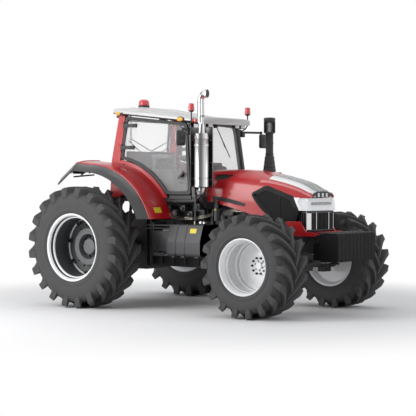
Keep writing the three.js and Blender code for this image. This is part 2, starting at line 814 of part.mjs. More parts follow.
// The doors' hinge line runs up the rear edge, just outside the side plane.
const doorRearLowZ = rearZ + doorArcRadius * Math.sin(doorArcTop * rad);
const hingeHeights = [hingeLowShare, hingeHighShare].map((share) => {
  const middle = doorRearLowZ + share * (roofZ(doorRearX) - doorRearLowZ);
  return [middle - hingeHeight / 2, middle + hingeHeight / 2];
});
const hingeX = (z) => doorRearBottomX - swingGap / 2
  + ((doorRearX - doorRearBottomX) * (z - doorRearLowZ)) / (roofZ(doorRearX) - doorRearLowZ);
const hingeAt = (z, side) => at(hingeX(z), side * (planeY(hingeX(z), z) + hingeOut), z);

sides.forEach(([name, side]) => {
  const frame = cut(acrossY(doorOutline, -cabWall, 0), acrossY(paneOutline, -cabWall - 1, 1));
  const hinges = hingeHeights.map(([low, high]) => join(
    rod(hingeAt(low + 5, side), hingeAt(high - 5, side), hingeBarrelRadius, 12),
    leaned(box(hingeX(low) + 4, hingeX(low) + 120, -4, hingeOut + 8, low + 7, high - 7), side),
  ));
  const bores = hingeHeights.map(([low, high]) => rod(
    hingeAt(low - 1, side), hingeAt(high + 1, side), hingePinRadius + pinGap, 16,
  ));
  place(`door_frame_${name}`, cut(join(leaned(frame, side), ...hinges), ...bores), blackPlastic);
  const pane = acrossY(inset(doorOutline, frameBar + seatGap), -cabWall / 2 - glassThick, -cabWall / 2);
  place(`door_glass_${name}`, leaned(pane, side), clearGlass);
});

// Points of the crown line as [x, z, direction of its normal in degrees]: round the wheel,
// level to the corner, then down the tail.
const cornerZ = rearZ + crownRadius + fenderRise;
const fenderPath = [
  ...arc(0, rearZ, crownRadius, 16, 90, 10).map(([x, z], i) => [x, z, 16 + 7.4 * i]),
  [0.6 * fenderCornerX, cornerZ - 0.5 * fenderRise, 90],
  [fenderCornerX, cornerZ, 90 + tailSlope / 2],
  [fenderCornerX - tailLength * Math.cos(tailSlope * rad), cornerZ - tailLength * Math.sin(tailSlope * rad),
    90 + tailSlope],
];

function fenderSkin(profile, side) {
  const rings = fenderPath.map(([x, z, normal]) => profile.map(([y, r]) => {
    const out = r - crownRadius;
    return at(x + out * Math.cos(normal * rad), side * y, z + out * Math.sin(normal * rad));
  }));
  const skin = loft(rings, (p) => new THREE.Vector2(p.y, Math.hypot(p.x, p.z - rearZ)));
  const trim = acrossY([
    [crownRadius + 200, fenderLowZ], [crownRadius + 200, roofCrown], [tailTrim[0][0], roofCrown],
    ...tailTrim, [tailTrim[1][0], fenderLowZ],
  ], side * 500, side * (fenderOuterY + 100));
  return skin.intersect(trim);
}

const crownIn = 705;
const crownProfile = [
  [crownIn, crownRadius], [fenderStripY - 200, crownRadius - 4], [fenderStripY - 80, crownRadius - 18],
  [fenderStripY, crownRadius - 40], [fenderStripY, crownRadius - 40 - fenderWall],
  [fenderStripY - 100, crownRadius - 18 - fenderWall],
  [fenderStripY - 220, crownRadius - 4 - fenderWall], [crownIn, crownRadius - fenderWall],
];
const stripIn = fenderStripY + seatGap;
const stripProfile = [
  [stripIn, crownRadius - 40], [fenderOuterY - 45, crownRadius - 98], [fenderOuterY, crownRadius - 152],
  [fenderOuterY - 26, crownRadius - 160], [fenderOuterY - 72, crownRadius - 118],
  [stripIn, crownRadius - 40 - fenderWall],
];
const wallTopRadius = doorArcRadius - swingGap;
const pillarFootZ = rearZ + wallTopRadius * Math.sin(doorArcTop * rad) - 20;

// The floor's slab, grown by a clearance where the fenders make room for it.
function floorSlab(clearance) {
  const halfWidth = (x) => planeY(x, floorZ) - floorInset + clearance;
  const [rear, front] = [halfWidth(pillarRearX), halfWidth(pillarFrontX)];
  return upZ([
    [pillarRearX, rear], [pillarFrontX, front], [pillarFrontX, -front], [pillarRearX, -rear],
  ], floorZ - floorThick - clearance, floorZ - seatGap);
}

sides.forEach(([name, side]) => {
  const wallOutline = [
    [pillarRearX, floorZ], [Math.sqrt(wallTopRadius ** 2 - (floorZ - rearZ) ** 2), floorZ],
    ...arc(0, rearZ, wallTopRadius, angleAtX(doorLowX, wallTopRadius),
      angleAtX(doorRearBottomX + 4, wallTopRadius), 8),
    [doorRearBottomX - 2, pillarFootZ], [pillarRearX, pillarFootZ],
  ];
  const wall = leaned(acrossY(wallOutline, -cabWall, 0), side);
  const fender = cut(join(wall, fenderSkin(crownProfile, side)), floorSlab(seatGap));
  place(`fender_${name}`, fender, redPaint);
  place(`fender_strip_${name}`, fenderSkin(stripProfile, side), blackPlastic);

  const rearPillar = [
    [pillarRearX, pillarFootZ + seatGap], [doorRearBottomX - swingGap, pillarFootZ + seatGap],
    [doorRearX - swingGap, roofZ(doorRearX - swingGap) - seatGap],
    [pillarRearTopX, roofZ(pillarRearTopX) - seatGap],
  ];
  const lugs = hingeHeights.map(([low, high]) => [[low - 26, low - 1], [high + 1, high + 26]]).flat();
  const knuckles = lugs.map(([z0, z1]) => join(
    rod(hingeAt(z0, side), hingeAt(z1, side), hingeBarrelRadius, 12),
    leaned(box(hingeX(z0) - 46, hingeX(z0), -6, hingeOut + 6, z0, z1), side),
  ));
  const pins = hingeHeights.map(([low, high]) => rod(
    hingeAt(low - 10, side), hingeAt(high + 10, side), hingePinRadius, 16,
  ));
  const pillar = leaned(acrossY(rearPillar, -rearPillarDepth, 0), side);
  place(`rear_pillar_${name}`, join(pillar, ...knuckles, ...pins), redPaint);

  const frontPillar = [
    [doorFrontX + 2 * swingGap, floorZ + seatGap], [pillarFrontX, floorZ + seatGap],
    [pillarFrontTopX, roofZ(pillarFrontTopX) - seatGap],
    [doorFrontTopX + swingGap, roofZ(doorFrontTopX + swingGap) - seatGap],
  ];
  place(`front_pillar_${name}`, leaned(acrossY(frontPillar, -pillarDepth, 0), side), blackPaint);
});

// Floor with its sills and the seat's pedestal.
function cabFloor() {
  const slab = floorSlab(0);
  const sill = acrossY([
    [doorLowX + 60, floorZ - 20], [doorFrontX, floorZ - 20], [doorFrontX, sillZ], [doorLowX + 60, sillZ],
  ], -cabWall, 0);
  const legs = cabLegX.map((x) => box(
    x, x + cabLegSize, -cabLegHalf, cabLegHalf, gearboxTop + seatGap, floorZ - floorThick + 1,
  ));
  const pedestal = box(seatRearX + 30, seatFrontX - 60, -pedestalHalf, pedestalHalf, floorZ - 10, seatZ);
  return join(slab, leaned(sill, 1), leaned(sill, -1), ...legs, pedestal);
}
place('cab_floor', cabFloor(), blackPlastic);

// Glass between the front pillars, leaning back with them.
const screenInset = pillarDepth + seatGap;
function windscreen() {
  const low = floorZ + 20;
  const xAt = (z) => pillarFrontX + ((pillarFrontTopX - pillarFrontX) * (z - floorZ))
    / (roofZ(pillarFrontTopX) - floorZ) - 30;
  const top = roofZ(pillarFrontTopX) - seatGap;
  const corners = (x, z) => {
    const y = planeY(x, z) - screenInset;
    return [at(x, -y, z), at(x, y, z)];
  };
  const rings = [0, -glassThick].map((dx) => {
    const [a, b] = corners(xAt(low) + dx, low);
    const [c, d] = corners(xAt(top) + dx, top);
    return [a, b, d, c];
  });
  return loft(rings, (p) => new THREE.Vector2(p.y, p.z));
}
place('windscreen', windscreen(), clearGlass);

// Panel below the rear window, the window itself and its frame, hinged at the top.
const rearPlaneX = (z) => pillarRearX + ((pillarRearTopX - pillarRearX) * (z - pillarFootZ))
  / (roofZ(pillarRearTopX) - pillarFootZ);
const rearSillZ = pillarFootZ - rearSillDrop;
const rearWindowTop = roofZ(pillarRearTopX) - 60;

function rearSlab(zLow, zHigh, halfLow, halfHigh, x0, x1) {
  const ring = (dx) => [
    at(rearPlaneX(zLow) + dx, -halfLow, zLow), at(rearPlaneX(zLow) + dx, halfLow, zLow),
    at(rearPlaneX(zHigh) + dx, halfHigh, zHigh), at(rearPlaneX(zHigh) + dx, -halfHigh, zHigh),
  ];
  return loft([ring(x1), ring(x0)], (p) => new THREE.Vector2(p.y, p.z));
}
const rearHalf = (z) => planeY(rearPlaneX(z), z) - rearPillarDepth - swingGap;
const panelHalf = planeY(pillarRearX, rearSillZ) - cabWall - 4;
place('cab_rear_panel', box(
  pillarRearX - 30, pillarRearX + 10, -panelHalf, panelHalf, floorZ + seatGap, rearSillZ - swingGap - 40,
), blackPlastic);
const windowLow = rearSillZ - 40;
const rearFrameBar = 40;
// The window's hinge pins hang from the roof, one near each rear pillar.
const windowPinX = rearPlaneX(rearWindowTop) - 12;
const windowPinZ = rearWindowTop + 26;
const windowPinY = 430;
const windowLugs = [-1, 1].map((side) => acrossY([
  [windowPinX - 22, rearWindowTop - 12], [windowPinX + 14, rearWindowTop - 12],
  [windowPinX + 17, windowPinZ + 15], [windowPinX - 17, windowPinZ + 15],
], side * (windowPinY - 12), side * (windowPinY + 12)));
const windowBores = [-1, 1].map((side) => rod(
  at(windowPinX, side * (windowPinY - 14), windowPinZ), at(windowPinX, side * (windowPinY + 14), windowPinZ),
  hingePinRadius + pinGap, 16,
));
const windowFrame = cut(
  rearSlab(windowLow, rearWindowTop, rearHalf(windowLow), rearHalf(rearWindowTop), -26, 0),
  rearSlab(
    windowLow + rearFrameBar, rearWindowTop - rearFrameBar, rearHalf(windowLow) - rearFrameBar,
    rearHalf(rearWindowTop) - rearFrameBar, -40, 14,
  ),
);
place('rear_window_frame', cut(join(windowFrame, ...windowLugs), ...windowBores), blackPlastic);
place('rear_window_glass', rearSlab(
  windowLow + rearFrameBar + seatGap, rearWindowTop - rearFrameBar - seatGap,
  rearHalf(windowLow) - rearFrameBar - seatGap, rearHalf(rearWindowTop) - rearFrameBar - seatGap, -16, -10,
), clearGlass);

// The underside rises outside the doors, which lift a little as they swing out.
function cabRoof() {
  // [x, half width, height of the edge, height of the crown, its fall to the sides]
  const stations = [
    [20, 700, 30, 70, 0.1], [150, 765, 94, 135, 0.25], [500, 760, 84, 146, 0.4],
    [900, 745, 72, 118, 0.35], [1200, 728, 67, 94, 0.22], [1430, 712, 74, 92, 0.08],
    [1600, 690, 86, 104, 0.05], [1668, 672, 92, 106, 0.05], [1690, 655, 78, 94, 0.05],
  ];
  const rings = stations.map(([x, half, edge, crown, fall]) => {
    const shoulder = crown * (1 - fall);
    const base = roofZ(x);
    const inner = planeY(x, base) - cabWall - 10;
    const eaves = base + eavesSlope * Math.abs(half - inner);
    return [
      at(x, -half, eaves), at(x, -inner, base), at(x, inner, base), at(x, half, eaves),
      at(x, half, base + edge),
      at(x, half - roofShoulder, base + shoulder), at(x, 0, base + crown),
      at(x, -half + roofShoulder, base + shoulder), at(x, -half, base + edge),
    ];
  });
  let solid = loft(rings, (p) => new THREE.Vector2(p.y, p.z));
  sides.forEach(([, side]) => {
    const ear = sideBox(
      side, windowPinX - 16, windowPinX + 16, windowPinY + 18, windowPinY + 34, windowPinZ - 16,
      roofZ(windowPinX) + 20,
    );
    const pin = rod(
      at(windowPinX, side * (windowPinY - 12), windowPinZ), at(windowPinX, side * (windowPinY + 26), windowPinZ),
      hingePinRadius, 16,
    );
    solid = join(solid, ear, pin);
  });
  return solid;
}
place('cab_roof', cabRoof(), roofPaint);

// Firewall with the hood's hinge pin, and the console inside the cab.
function firewall() {
  const x0 = pillarFrontX + seatGap;
  const wall = box(
    x0, hoodRearX - swingGap, -firewallHalf, firewallHalf, floorZ - firewallDrop, firewallTop,
  );
  const ears = [-1, 1].map((side) => acrossY([
    [x0, firewallTop - 65], [hoodHingeX + 20, hoodHingeZ - 24], [hoodHingeX + 20, hoodHingeZ + 18],
    [hoodHingeX - 18, hoodHingeZ + 18], [x0, firewallTop - 1],
  ], side * (hoodLugY - 45), side * (hoodLugY - 20)));
  const pin = rod(
    at(hoodHingeX, -hoodLugY - 14, hoodHingeZ), at(hoodHingeX, hoodLugY + 14, hoodHingeZ), hoodPinRadius, 20,
  );
  return join(wall, ...ears, pin);
}
place('firewall', firewall(), blackPlastic);

place('dashboard', acrossY([
  [1330, floorZ + seatGap], [1590, floorZ + seatGap], [1575, 1960], [1500, 2150], [1370, 2190],
  [1300, 2120], [1340, 1980],
], -dashHalf, dashHalf), blackPlastic);

function steeringColumn() {
  const foot = at(columnFootX, 0, floorZ + seatGap + 30);
  const hub = at(steerWheelHub[0], 0, steerWheelHub[1]);
  const lean = hub.clone().sub(foot).normalize().add(at(-0.35, 0, 0)).normalize();
  const wheel = new THREE.TorusGeometry(steerWheelRadius, steerWheelRim, 6, 20);
  wheel.applyQuaternion(new THREE.Quaternion().setFromUnitVectors(at(0, 0, 1), lean));
  wheel.translate(hub.x, hub.y, hub.z);
  const reach = at(0, steerWheelRadius - 4, 0);
  const spoke = rod(hub.clone().sub(reach), hub.clone().add(reach), 13, 8);
  return join(
    rod(foot, hub.clone().addScaledVector(lean, 8), columnRadius, 12), solidOf(wheel), spoke,
    box(columnFootX - 65, columnFootX + 65, -90, 90, floorZ + seatGap, floorZ + 60),
  );
}
place('steering_column', steeringColumn(), blackPlastic);

place('seat_cushion', box(
  seatRearX, seatFrontX, -seatY, seatY, seatZ + seatGap, seatZ + seatThick,
), seatCloth);
place('seat_backrest', acrossY([
  [seatRearX - 40, seatZ + seatThick + seatGap], [seatRearX + 90, seatZ + seatThick + seatGap],
  [seatRearX + 30, seatZ + seatThick + seatBackHeight], [seatRearX - 70, seatZ + seatThick + seatBackHeight],
], -seatY + 20, seatY - 20), seatCloth);

// ---------- exhaust, air intake, mirrors, lamps ----------

function exhaust() {
  const can = rod(at(mufflerX, mufflerY, mufflerBottom), at(mufflerX, mufflerY, mufflerTop), mufflerRadius, 20);
  const cone = rod(
    at(mufflerX, mufflerY, mufflerTop - 1), at(mufflerX, mufflerY, mufflerTop + mufflerCone),
    mufflerRadius - 12, 20, pipeRadius,
  );
  const bendZ = pipeTop - pipeBend;
  const stack = tube([
    at(mufflerX, mufflerY, mufflerTop + mufflerCone - 20), at(mufflerX, mufflerY, bendZ - 60),
    at(mufflerX, mufflerY, bendZ), at(mufflerX + 34, mufflerY, bendZ + 100),
    at(mufflerX + 125, mufflerY, pipeTop - 58),
  ], pipeRadius, 12, 9);
  const elbow = tube([
    at(mufflerX, mufflerY, mufflerBottom + 20), at(mufflerX, mufflerY, 1740),
    at(mufflerX, mufflerY + 40, 1620), at(mufflerX, mufflerY + 160, elbowZ + 4),
    at(mufflerX, -engineHalfWidth - 120, elbowZ), at(mufflerX, -engineHalfWidth - seatGap, elbowZ),
  ], elbowRadius, 12, 9);
  return join(can, cone, stack, elbow);
}
place('exhaust', exhaust(), chromeSteel);

function airIntake() {
  const up = (z) => at(intakeX, intakeY, z);
  const [bootLow, bootHigh] = intakeBootZ;
  const cap = rod(up(intakeTop - intakeCapHeight), up(intakeTop), intakeCapRadius, 18);
  const duct = rod(up(bootHigh - 10), up(intakeTop - intakeCapHeight + 10), intakeRadius, 18);
  const boot = rod(up(bootLow), up(bootHigh), intakeBootRadius, 18, intakeRadius + 6);
  const lower = tube([
    up(bootLow + 20), up(1700), at(intakeX, intakeY - 20, 1540),
    at(intakeX, intakeY - 130, intakeLowZ + 15), at(intakeX, engineHalfWidth + 90, intakeLowZ),
    at(intakeX, engineHalfWidth + seatGap, intakeLowZ),
  ], intakeRadius, 12, 8);
  return join(cap, duct, boot, lower);
}
place('air_intake', airIntake(), blackPlastic);

sides.forEach(([name, side]) => {
  const [footX, footZ, half] = [mirrorFootX, mirrorArmZ, mirrorFootHalf];
  const foot = leaned(box(footX - half.x, footX + half.x, seatGap, half.out, footZ - half.z, footZ + half.z), side);
  const root = at(footX, side * (planeY(footX, footZ) + 24), footZ);
  const elbow = at(mirrorX - 10, side * (mirrorY - 60), footZ);
  const arm = rod(root, elbow, mirrorArmRadius, 10);
  const drop = rod(at(elbow.x, elbow.y, footZ + 12), at(elbow.x, elbow.y, mirrorZ), mirrorArmRadius - 2, 10);
  const head = sideBox(
    side, mirrorX - mirrorHead.back, mirrorX + mirrorHead.front, mirrorY - mirrorHead.half,
    mirrorY + mirrorHead.half, mirrorZ - mirrorHead.below, mirrorZ + mirrorHead.above,
  );
  const up = (z) => at(beaconX, side * beaconY, z);
  const [beaconLow, beaconHigh] = beaconZ;
  const stem = tube([
    at(footX, side * (planeY(footX, footZ) + 20), footZ + 25), at(beaconX - 70, side * (beaconY - 12), 2735),
    at(beaconX - 8, side * beaconY, 2800), up(2870), up(beaconLow + 10),
  ], beaconStemRadius, 6, 8);
  const beacon = rod(up(beaconLow), up(beaconHigh), beaconRadius, 16);
  place(`mirror_beacon_${name}`, join(foot, arm, drop, head, stem, beacon), blackPlastic);
});

// ---------- hood: one shell, parted into hood, side grilles, headlamps and front grille ----------

// Half sections from the rear: [x, top, shoulder y, shoulder z, side y, side z, lower y, lower z].
const hoodStations = [
  [0, 2106, 355, 2035, 418, 1880, 420, 1655],
  [0.24, 2108, 365, 1988, 425, 1840, 424, 1565],
  [0.43, 2084, 372, 1942, 428, 1770, 422, 1475],
  [0.63, 2020, 366, 1885, 424, 1690, 410, 1392],
  [0.85, 1925, 346, 1766, 408, 1600, 392, 1362],
  [1, 1788, 305, 1690, 352, 1520, 345, 1362],
];

function hoodBody(wall, extra) {
  const rings = hoodStations.map(([share, top, y1, z1, y2, z2, y3, z3], i) => {
    let x = hoodX(share);
    if (i === 0) x -= extra;
    if (i === hoodStations.length - 1) x -= 1.6 * wall;
    const half = [
      [y3 - wall, z3 - extra], [y2 - wall, z2], [y1 - wall, z1 - wall * 0.6],
      [0.55 * y1, top - 0.2 * (top - z1) - wall], [0, top - wall],
    ];
    const right = half.map(([y, z]) => at(x, -y, z));
    const left = half.slice(0, -1).reverse().map(([y, z]) => at(x, y, z));
    return [...right, ...left];
  });
  return loft(rings, (p) => new THREE.Vector2(p.y, p.z));
}
const hoodSkin = cut(hoodBody(0, 0), hoodBody(hoodWall, 60));

// Side outlines as [x from the nose, z].
const fromNose = (outline) => outline.map(([dx, z]) => [noseX + dx, z]);
const grilleOutline = fromNose([
  [-722, 1874], [-985, 1752], [-905, 1632], [-800, 1512], [-680, 1425], [-660, 1330],
  [-212, 1330], [-152, 1507], [-257, 1711],
]);
const lampOutline = fromNose([[-257, 1711], [-152, 1507], [-60, 1500], [60, 1500], [60, 1712], [-120, 1716]]);
const noseOutline = fromNose([[-158, 1510], [-218, 1330], [60, 1330], [60, 1510]]);
// The opening for a side grille runs on a little into the lamp's and the nose's openings.
const grilleCut = grilleOutline.map(([x, z], i) => (i >= grilleOutline.length - 3 ? [x + 6, z] : [x, z]));
const widest = 480;
const grilleSide = 230;

const lampTool = acrossY(lampOutline, -widest, widest);
const noseTool = acrossY(noseOutline, -widest, widest);
let hoodShell = cut(hoodSkin, lampTool, noseTool);
sides.forEach(([, side]) => {
  hoodShell = hoodShell.subtract(acrossY(grilleCut, side * grilleSide, side * widest));
});

function hoodLug(side) {
  const y0 = side * (hoodLugY - 8);
  const y1 = side * (hoodLugY + 8);
  const plate = acrossY([
    [hoodHingeX - 24, hoodHingeZ - 22], [hoodHingeX + 60, hoodHingeZ - 22],
    [hoodHingeX + 90, hoodHingeZ + 48], [hoodHingeX - 24, hoodHingeZ + 48],
  ], y0, y1);
  const bore = rod(
    at(hoodHingeX, y0 - side * 2, hoodHingeZ), at(hoodHingeX, y1 + side * 2, hoodHingeZ),
    hoodPinRadius + pinGap, 20,
  );
  return cut(plate, bore);
}
const hoodPiece = join(hoodShell, hoodLug(1), hoodLug(-1));
place('hood', hoodPiece, redPaint);

sides.forEach(([name, side]) => {
  const tool = acrossY(inset(grilleOutline, seatGap), side * (grilleSide + 1), side * widest);
  place(`hood_grille_${name}`, hoodSkin.intersect(tool), blackPlastic);
});
place('headlamps', hoodSkin.intersect(acrossY(inset(lampOutline, seatGap), -widest, widest)), lampGlass);

// The front grille wraps the nose below the headlamps, down between the bumper's cheeks.
const noseHalf = 338;
const nosePlan = [
  [noseX - 195, -noseHalf], [noseX - 48, -noseHalf + 4], [noseX, -noseHalf + 42],
  [noseX, noseHalf - 42], [noseX - 48, noseHalf - 4], [noseX - 195, noseHalf],
  [noseX - 195, noseHalf - hoodWall], [noseX - 60, noseHalf - 28], [noseX - hoodWall, noseHalf - 60],
  [noseX - hoodWall, 60 - noseHalf], [noseX - 60, 28 - noseHalf], [noseX - 195, hoodWall - noseHalf],
];
place('front_grille', upZ(nosePlan, bumperLipTop + swingGap, 1500 - seatGap), blackPlastic);

// ---------- rear linkage ----------

const dropCos = Math.cos(hitchDrop * rad);
const dropSin = Math.sin(hitchDrop * rad);
const rodFootX = hitchX - liftLength * dropCos;
const rodLowZ = hitchLowZ - liftLength * dropSin;
const rodHighZ = hitchHighZ - liftLength * dropSin;
const linkYAt = (x) => linkPivotY + ((hitchX - x) / linkLength) * (linkEndY - linkPivotY);

sides.forEach(([name, side]) => {
  const endX = hitchX - linkLength * dropCos;
  const endZ = hitchLowZ - linkLength * dropSin;
  const half = linkThick / 2;
  const flat = (x, z, y) => rod(at(x, side * (y - half), z), at(x, side * (y + half), z), linkEyeRadius, 16);
  const bar = acrossY([
    [hitchX, hitchLowZ - 34], [hitchX, hitchLowZ + 34], [endX, endZ + 30], [endX, endZ - 30],
  ], linkPivotY - half, linkPivotY + half);
  const { numProp, vertProperties, triVerts } = bar.getMesh();
  const splayed = new THREE.BufferGeometry();
  const corners = [];
  for (let i = 0; i < vertProperties.length; i += numProp) {
    const [x, y, z] = vertProperties.subarray(i, i + 3);
    corners.push(x, side * (y + linkYAt(x) - linkPivotY), z);
  }
  splayed.setAttribute('position', new THREE.Float32BufferAttribute(corners, 3));
  splayed.setIndex([...triVerts]);
  const bores = [[hitchX, hitchLowZ, linkPivotY], [endX, endZ, linkEndY]].map(([x, z, y]) => rod(
    at(x, side * (y - half - 12), z), at(x, side * (y + half + 12), z), hitchPinRadius + pinGap, 16,
  ));
  const footY = linkYAt(rodFootX) + half;
  const stud = rod(at(rodFootX, side * (footY - 8), rodLowZ), at(rodFootX, side * (footY + 62), rodLowZ), 16, 16);
  const link = join(solidOf(splayed), flat(hitchX, hitchLowZ, linkPivotY), flat(endX, endZ, linkEndY), stud);
  place(`lower_link_${name}`, cut(link, ...bores), castIron);

  const rodY = footY + 34;
  const rodBody = join(
    rod(at(rodFootX, side * rodY, rodLowZ + 20), at(rodFootX, side * rodY, rodHighZ - 20), 20, 12),
    rod(at(rodFootX, side * rodY, rodLowZ + 150), at(rodFootX, side * rodY, rodHighZ - 260), 31, 12),
    rod(at(rodFootX, side * (rodY - 18), rodLowZ), at(rodFootX, side * (rodY + 18), rodLowZ), 40, 16),
    rod(at(rodFootX, side * (rodY - 18), rodHighZ), at(rodFootX, side * (rodY + 18), rodHighZ), 40, 16),
  );
  const rodBores = [[rodLowZ, 3], [rodHighZ, 0]].map(([z, play]) => rod(
    at(rodFootX, side * (rodY - 20), z), at(rodFootX, side * (rodY + 20), z), 16 + pinGap + play, 16,
  ));
  place(`lift_rod_${name}`, cut(rodBody, ...rodBores), castIron);
});

function liftArms() {
  const rodY = linkYAt(rodFootX) + linkThick / 2 + 34;
  const armY = rodY - 18 - 6 - 30;
  let solid = rod(at(hitchX, -armY - 30, hitchHighZ), at(hitchX, armY + 30, hitchHighZ), liftShaftRadius, 20);
  sides.forEach(([, side]) => {
    const arm = acrossY([
      [hitchX + 44, hitchHighZ - 46], [hitchX + 44, hitchHighZ + 46], [rodFootX - 10, rodHighZ + 34],
      [rodFootX - 34, rodHighZ], [rodFootX - 10, rodHighZ - 34],
    ], side * armY, side * (armY + 30));
    const pin = rod(
      at(rodFootX, side * (armY + 10), rodHighZ), at(rodFootX, side * (rodY + 26), rodHighZ), 16, 16,
    );
    solid = join(solid, arm, pin);
  });
  return solid;
}
place('lift_arms', liftArms(), castIron);

// ---------- the whole, centred over its length ----------

tractor.position.x = -middleX;
const model = new THREE.Group();
model.name = 'tractor';
model.add(tractor);

export default model;
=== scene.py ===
import json
import math

import bmesh
import bpy
import numpy as np
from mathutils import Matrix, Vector


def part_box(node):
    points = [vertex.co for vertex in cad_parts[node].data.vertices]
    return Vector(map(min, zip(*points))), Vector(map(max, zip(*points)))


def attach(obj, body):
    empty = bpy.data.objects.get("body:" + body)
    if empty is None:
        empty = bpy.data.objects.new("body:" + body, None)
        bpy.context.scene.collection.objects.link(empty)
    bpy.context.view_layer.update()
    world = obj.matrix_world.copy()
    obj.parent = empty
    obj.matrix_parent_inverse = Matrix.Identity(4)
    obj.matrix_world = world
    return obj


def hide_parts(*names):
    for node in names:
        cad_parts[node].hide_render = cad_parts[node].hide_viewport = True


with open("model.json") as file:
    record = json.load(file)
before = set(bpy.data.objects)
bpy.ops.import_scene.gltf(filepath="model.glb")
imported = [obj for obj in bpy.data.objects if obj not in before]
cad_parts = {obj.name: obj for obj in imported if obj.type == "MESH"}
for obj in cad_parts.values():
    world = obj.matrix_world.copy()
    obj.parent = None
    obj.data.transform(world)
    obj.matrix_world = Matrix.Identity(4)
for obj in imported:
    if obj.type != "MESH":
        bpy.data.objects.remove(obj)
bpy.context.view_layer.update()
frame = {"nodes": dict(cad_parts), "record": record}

print("frame loaded:", len(frame["nodes"]), "nodes")

bodyOf = {n: body for body, names in frame["record"]["behaviour"]["bodies"].items() for n in names}
rearTyreLow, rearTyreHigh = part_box("rear_tyre_left")
axleX = (rearTyreLow.x + rearTyreHigh.x) / 2      # everything below is measured from the rear axle
sides = (("left", 1), ("right", -1))


def boxOf(node):
    # Low and high corners of a node, measured from the rear axle
    low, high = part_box(node)
    return np.array(low) - [axleX, 0, 0], np.array(high) - [axleX, 0, 0]


# ---- shapes as arrays of points and lists of faces ----

class Shape:
    # Points, faces and each face's finish number
    def __init__(self, points, faces, finishes=0):
        self.points = np.asarray(points, float).reshape(-1, 3)
        self.faces = [list(face) for face in faces]
        self.finishes = [finishes] * len(self.faces) if isinstance(finishes, int) else list(finishes)

    def mirrored(self):
        return Shape(self.points * [1, -1, 1], [face[::-1] for face in self.faces], self.finishes)

    def moved(self, x, y, z):
        return Shape(self.points + [x, y, z], self.faces, self.finishes)

    def turned(self, axis, degrees, centre):
        # Rodrigues: p cos + (axis x p) sin + axis (axis . p) (1 - cos), on every point at once
        axis = np.asarray(axis, float) / np.linalg.norm(axis)
        angle = math.radians(degrees)
        p = self.points - centre
        spun = (p * math.cos(angle) + np.cross(axis, p) * math.sin(angle)
                + np.outer(p @ axis, axis) * (1 - math.cos(angle)))
        return Shape(spun + centre, self.faces, self.finishes)

    def finish(self, number):
        return Shape(self.points, self.faces, number)


def joined(shapes):
    points, faces, finishes, start = [], [], [], 0
    for shape in shapes:
        points.append(shape.points)
        faces += [[start + i for i in face] for face in shape.faces]
        finishes += shape.finishes
        start += len(shape.points)
    return Shape(np.vstack(points), faces, finishes)


def around(shape, count, axis, centre, first=0.0):
    # The same shape at even turns about an axis
    return joined([shape.turned(axis, first + 360 * i / count, centre) for i in range(count)])


def gridFaces(rows, columns, wrapRows=False, wrapColumns=False):
    # Quads between neighbouring points of a grid, which may close on itself either way
    a, b = np.meshgrid(
        np.arange(rows - (not wrapRows)), np.arange(columns - (not wrapColumns)), indexing="ij")
    nextA, nextB = (a + 1) % rows, (b + 1) % columns
    quads = np.stack([a * columns + b, nextA * columns + b, nextA * columns + nextB, a * columns + nextB], -1)
    return quads.reshape(-1, 4)


def grid(points, wrapRows=False, wrapColumns=False, caps=False, finishes=0):
    # points[row, column] joined into a sheet; caps close the first and last row of a tube
    rows, columns = points.shape[:2]
    faces = gridFaces(rows, columns, wrapRows, wrapColumns).tolist()
    if caps:
        last = (rows - 1) * columns
        faces += [list(range(columns))[::-1], list(range(last, last + columns))]
    if not isinstance(finishes, int):
        finishes = list(finishes) + [finishes[0], finishes[-1]] * caps
    return Shape(points.reshape(-1, 3), faces, finishes)


def smoothLine(points, steps):
    # Catmull-Rom curve: each stretch is the cubic that passes through its ends with the neighbours' slopes
    p = np.asarray(points, float)
    p = np.vstack([2 * p[0] - p[1], p, 2 * p[-1] - p[-2]])
    t = np.linspace(0, 1, steps, endpoint=False)[None, :, None]
    a, b, c, d = p[:-3, None], p[1:-2, None], p[2:-1, None], p[3:, None]
    curve = 0.5 * (2 * b + (c - a) * t + (2 * a - 5 * b + 4 * c - d) * t ** 2
                   + (3 * b - a - 3 * c + d) * t ** 3)
    return np.vstack([curve.reshape(-1, p.shape[1]), p[-2:-1]])


def turnedShape(profile, centre, axis="y", count=64, finishes=0, closed=False):
    # A profile of (radius, along) points spun about an axis through the centre
    profile = np.asarray(profile, float)
    angle = np.linspace(0, 2 * np.pi, count, endpoint=False)
    radius, along = profile[:, :1], np.repeat(profile[:, 1:], count, 1)
    u, v = radius * np.cos(angle), radius * np.sin(angle)
    stacked = {"x": (along, u, v), "y": (u, along, v), "z": (u, v, along)}[axis]
    points = np.stack(stacked, -1) + centre
    if not isinstance(finishes, int):
        finishes = np.repeat(finishes, count).tolist()
    return grid(points, wrapRows=closed, wrapColumns=True, finishes=finishes)


def pathTube(points, radius, sides=10, steps=6, smooth=True, caps=True):
    # A round tube: circles in planes square to the path, turned as little as possible along it
    line = smoothLine(points, steps) if smooth else np.asarray(points, float)
    tangent = np.gradient(line, axis=0)
    tangent /= np.linalg.norm(tangent, axis=1)[:, None]
    helper = np.eye(3)[np.argmin(np.abs(tangent[0]))]
    frames = []
    for t in tangent:
        helper = helper - t * (helper @ t)
        helper /= np.linalg.norm(helper)
        frames.append(helper)
    u = np.array(frames)
    v = np.cross(tangent, u)
    angle = np.linspace(0, 2 * np.pi, sides, endpoint=False)
    radius = np.broadcast_to(np.asarray(radius, float), (len(line),))[:, None, None]
    circle = u[:, None] * np.cos(angle)[None, :, None] + v[:, None] * np.sin(angle)[None, :, None]
    return grid(line[:, None] + radius * circle, wrapColumns=True, caps=caps)


def rod(start, end, radius, sides=20, endRadius=None):
    radii = np.array([radius, radius if endRadius is None else endRadius])
    return pathTube(np.array([start, end]), radii, sides, smooth=False)


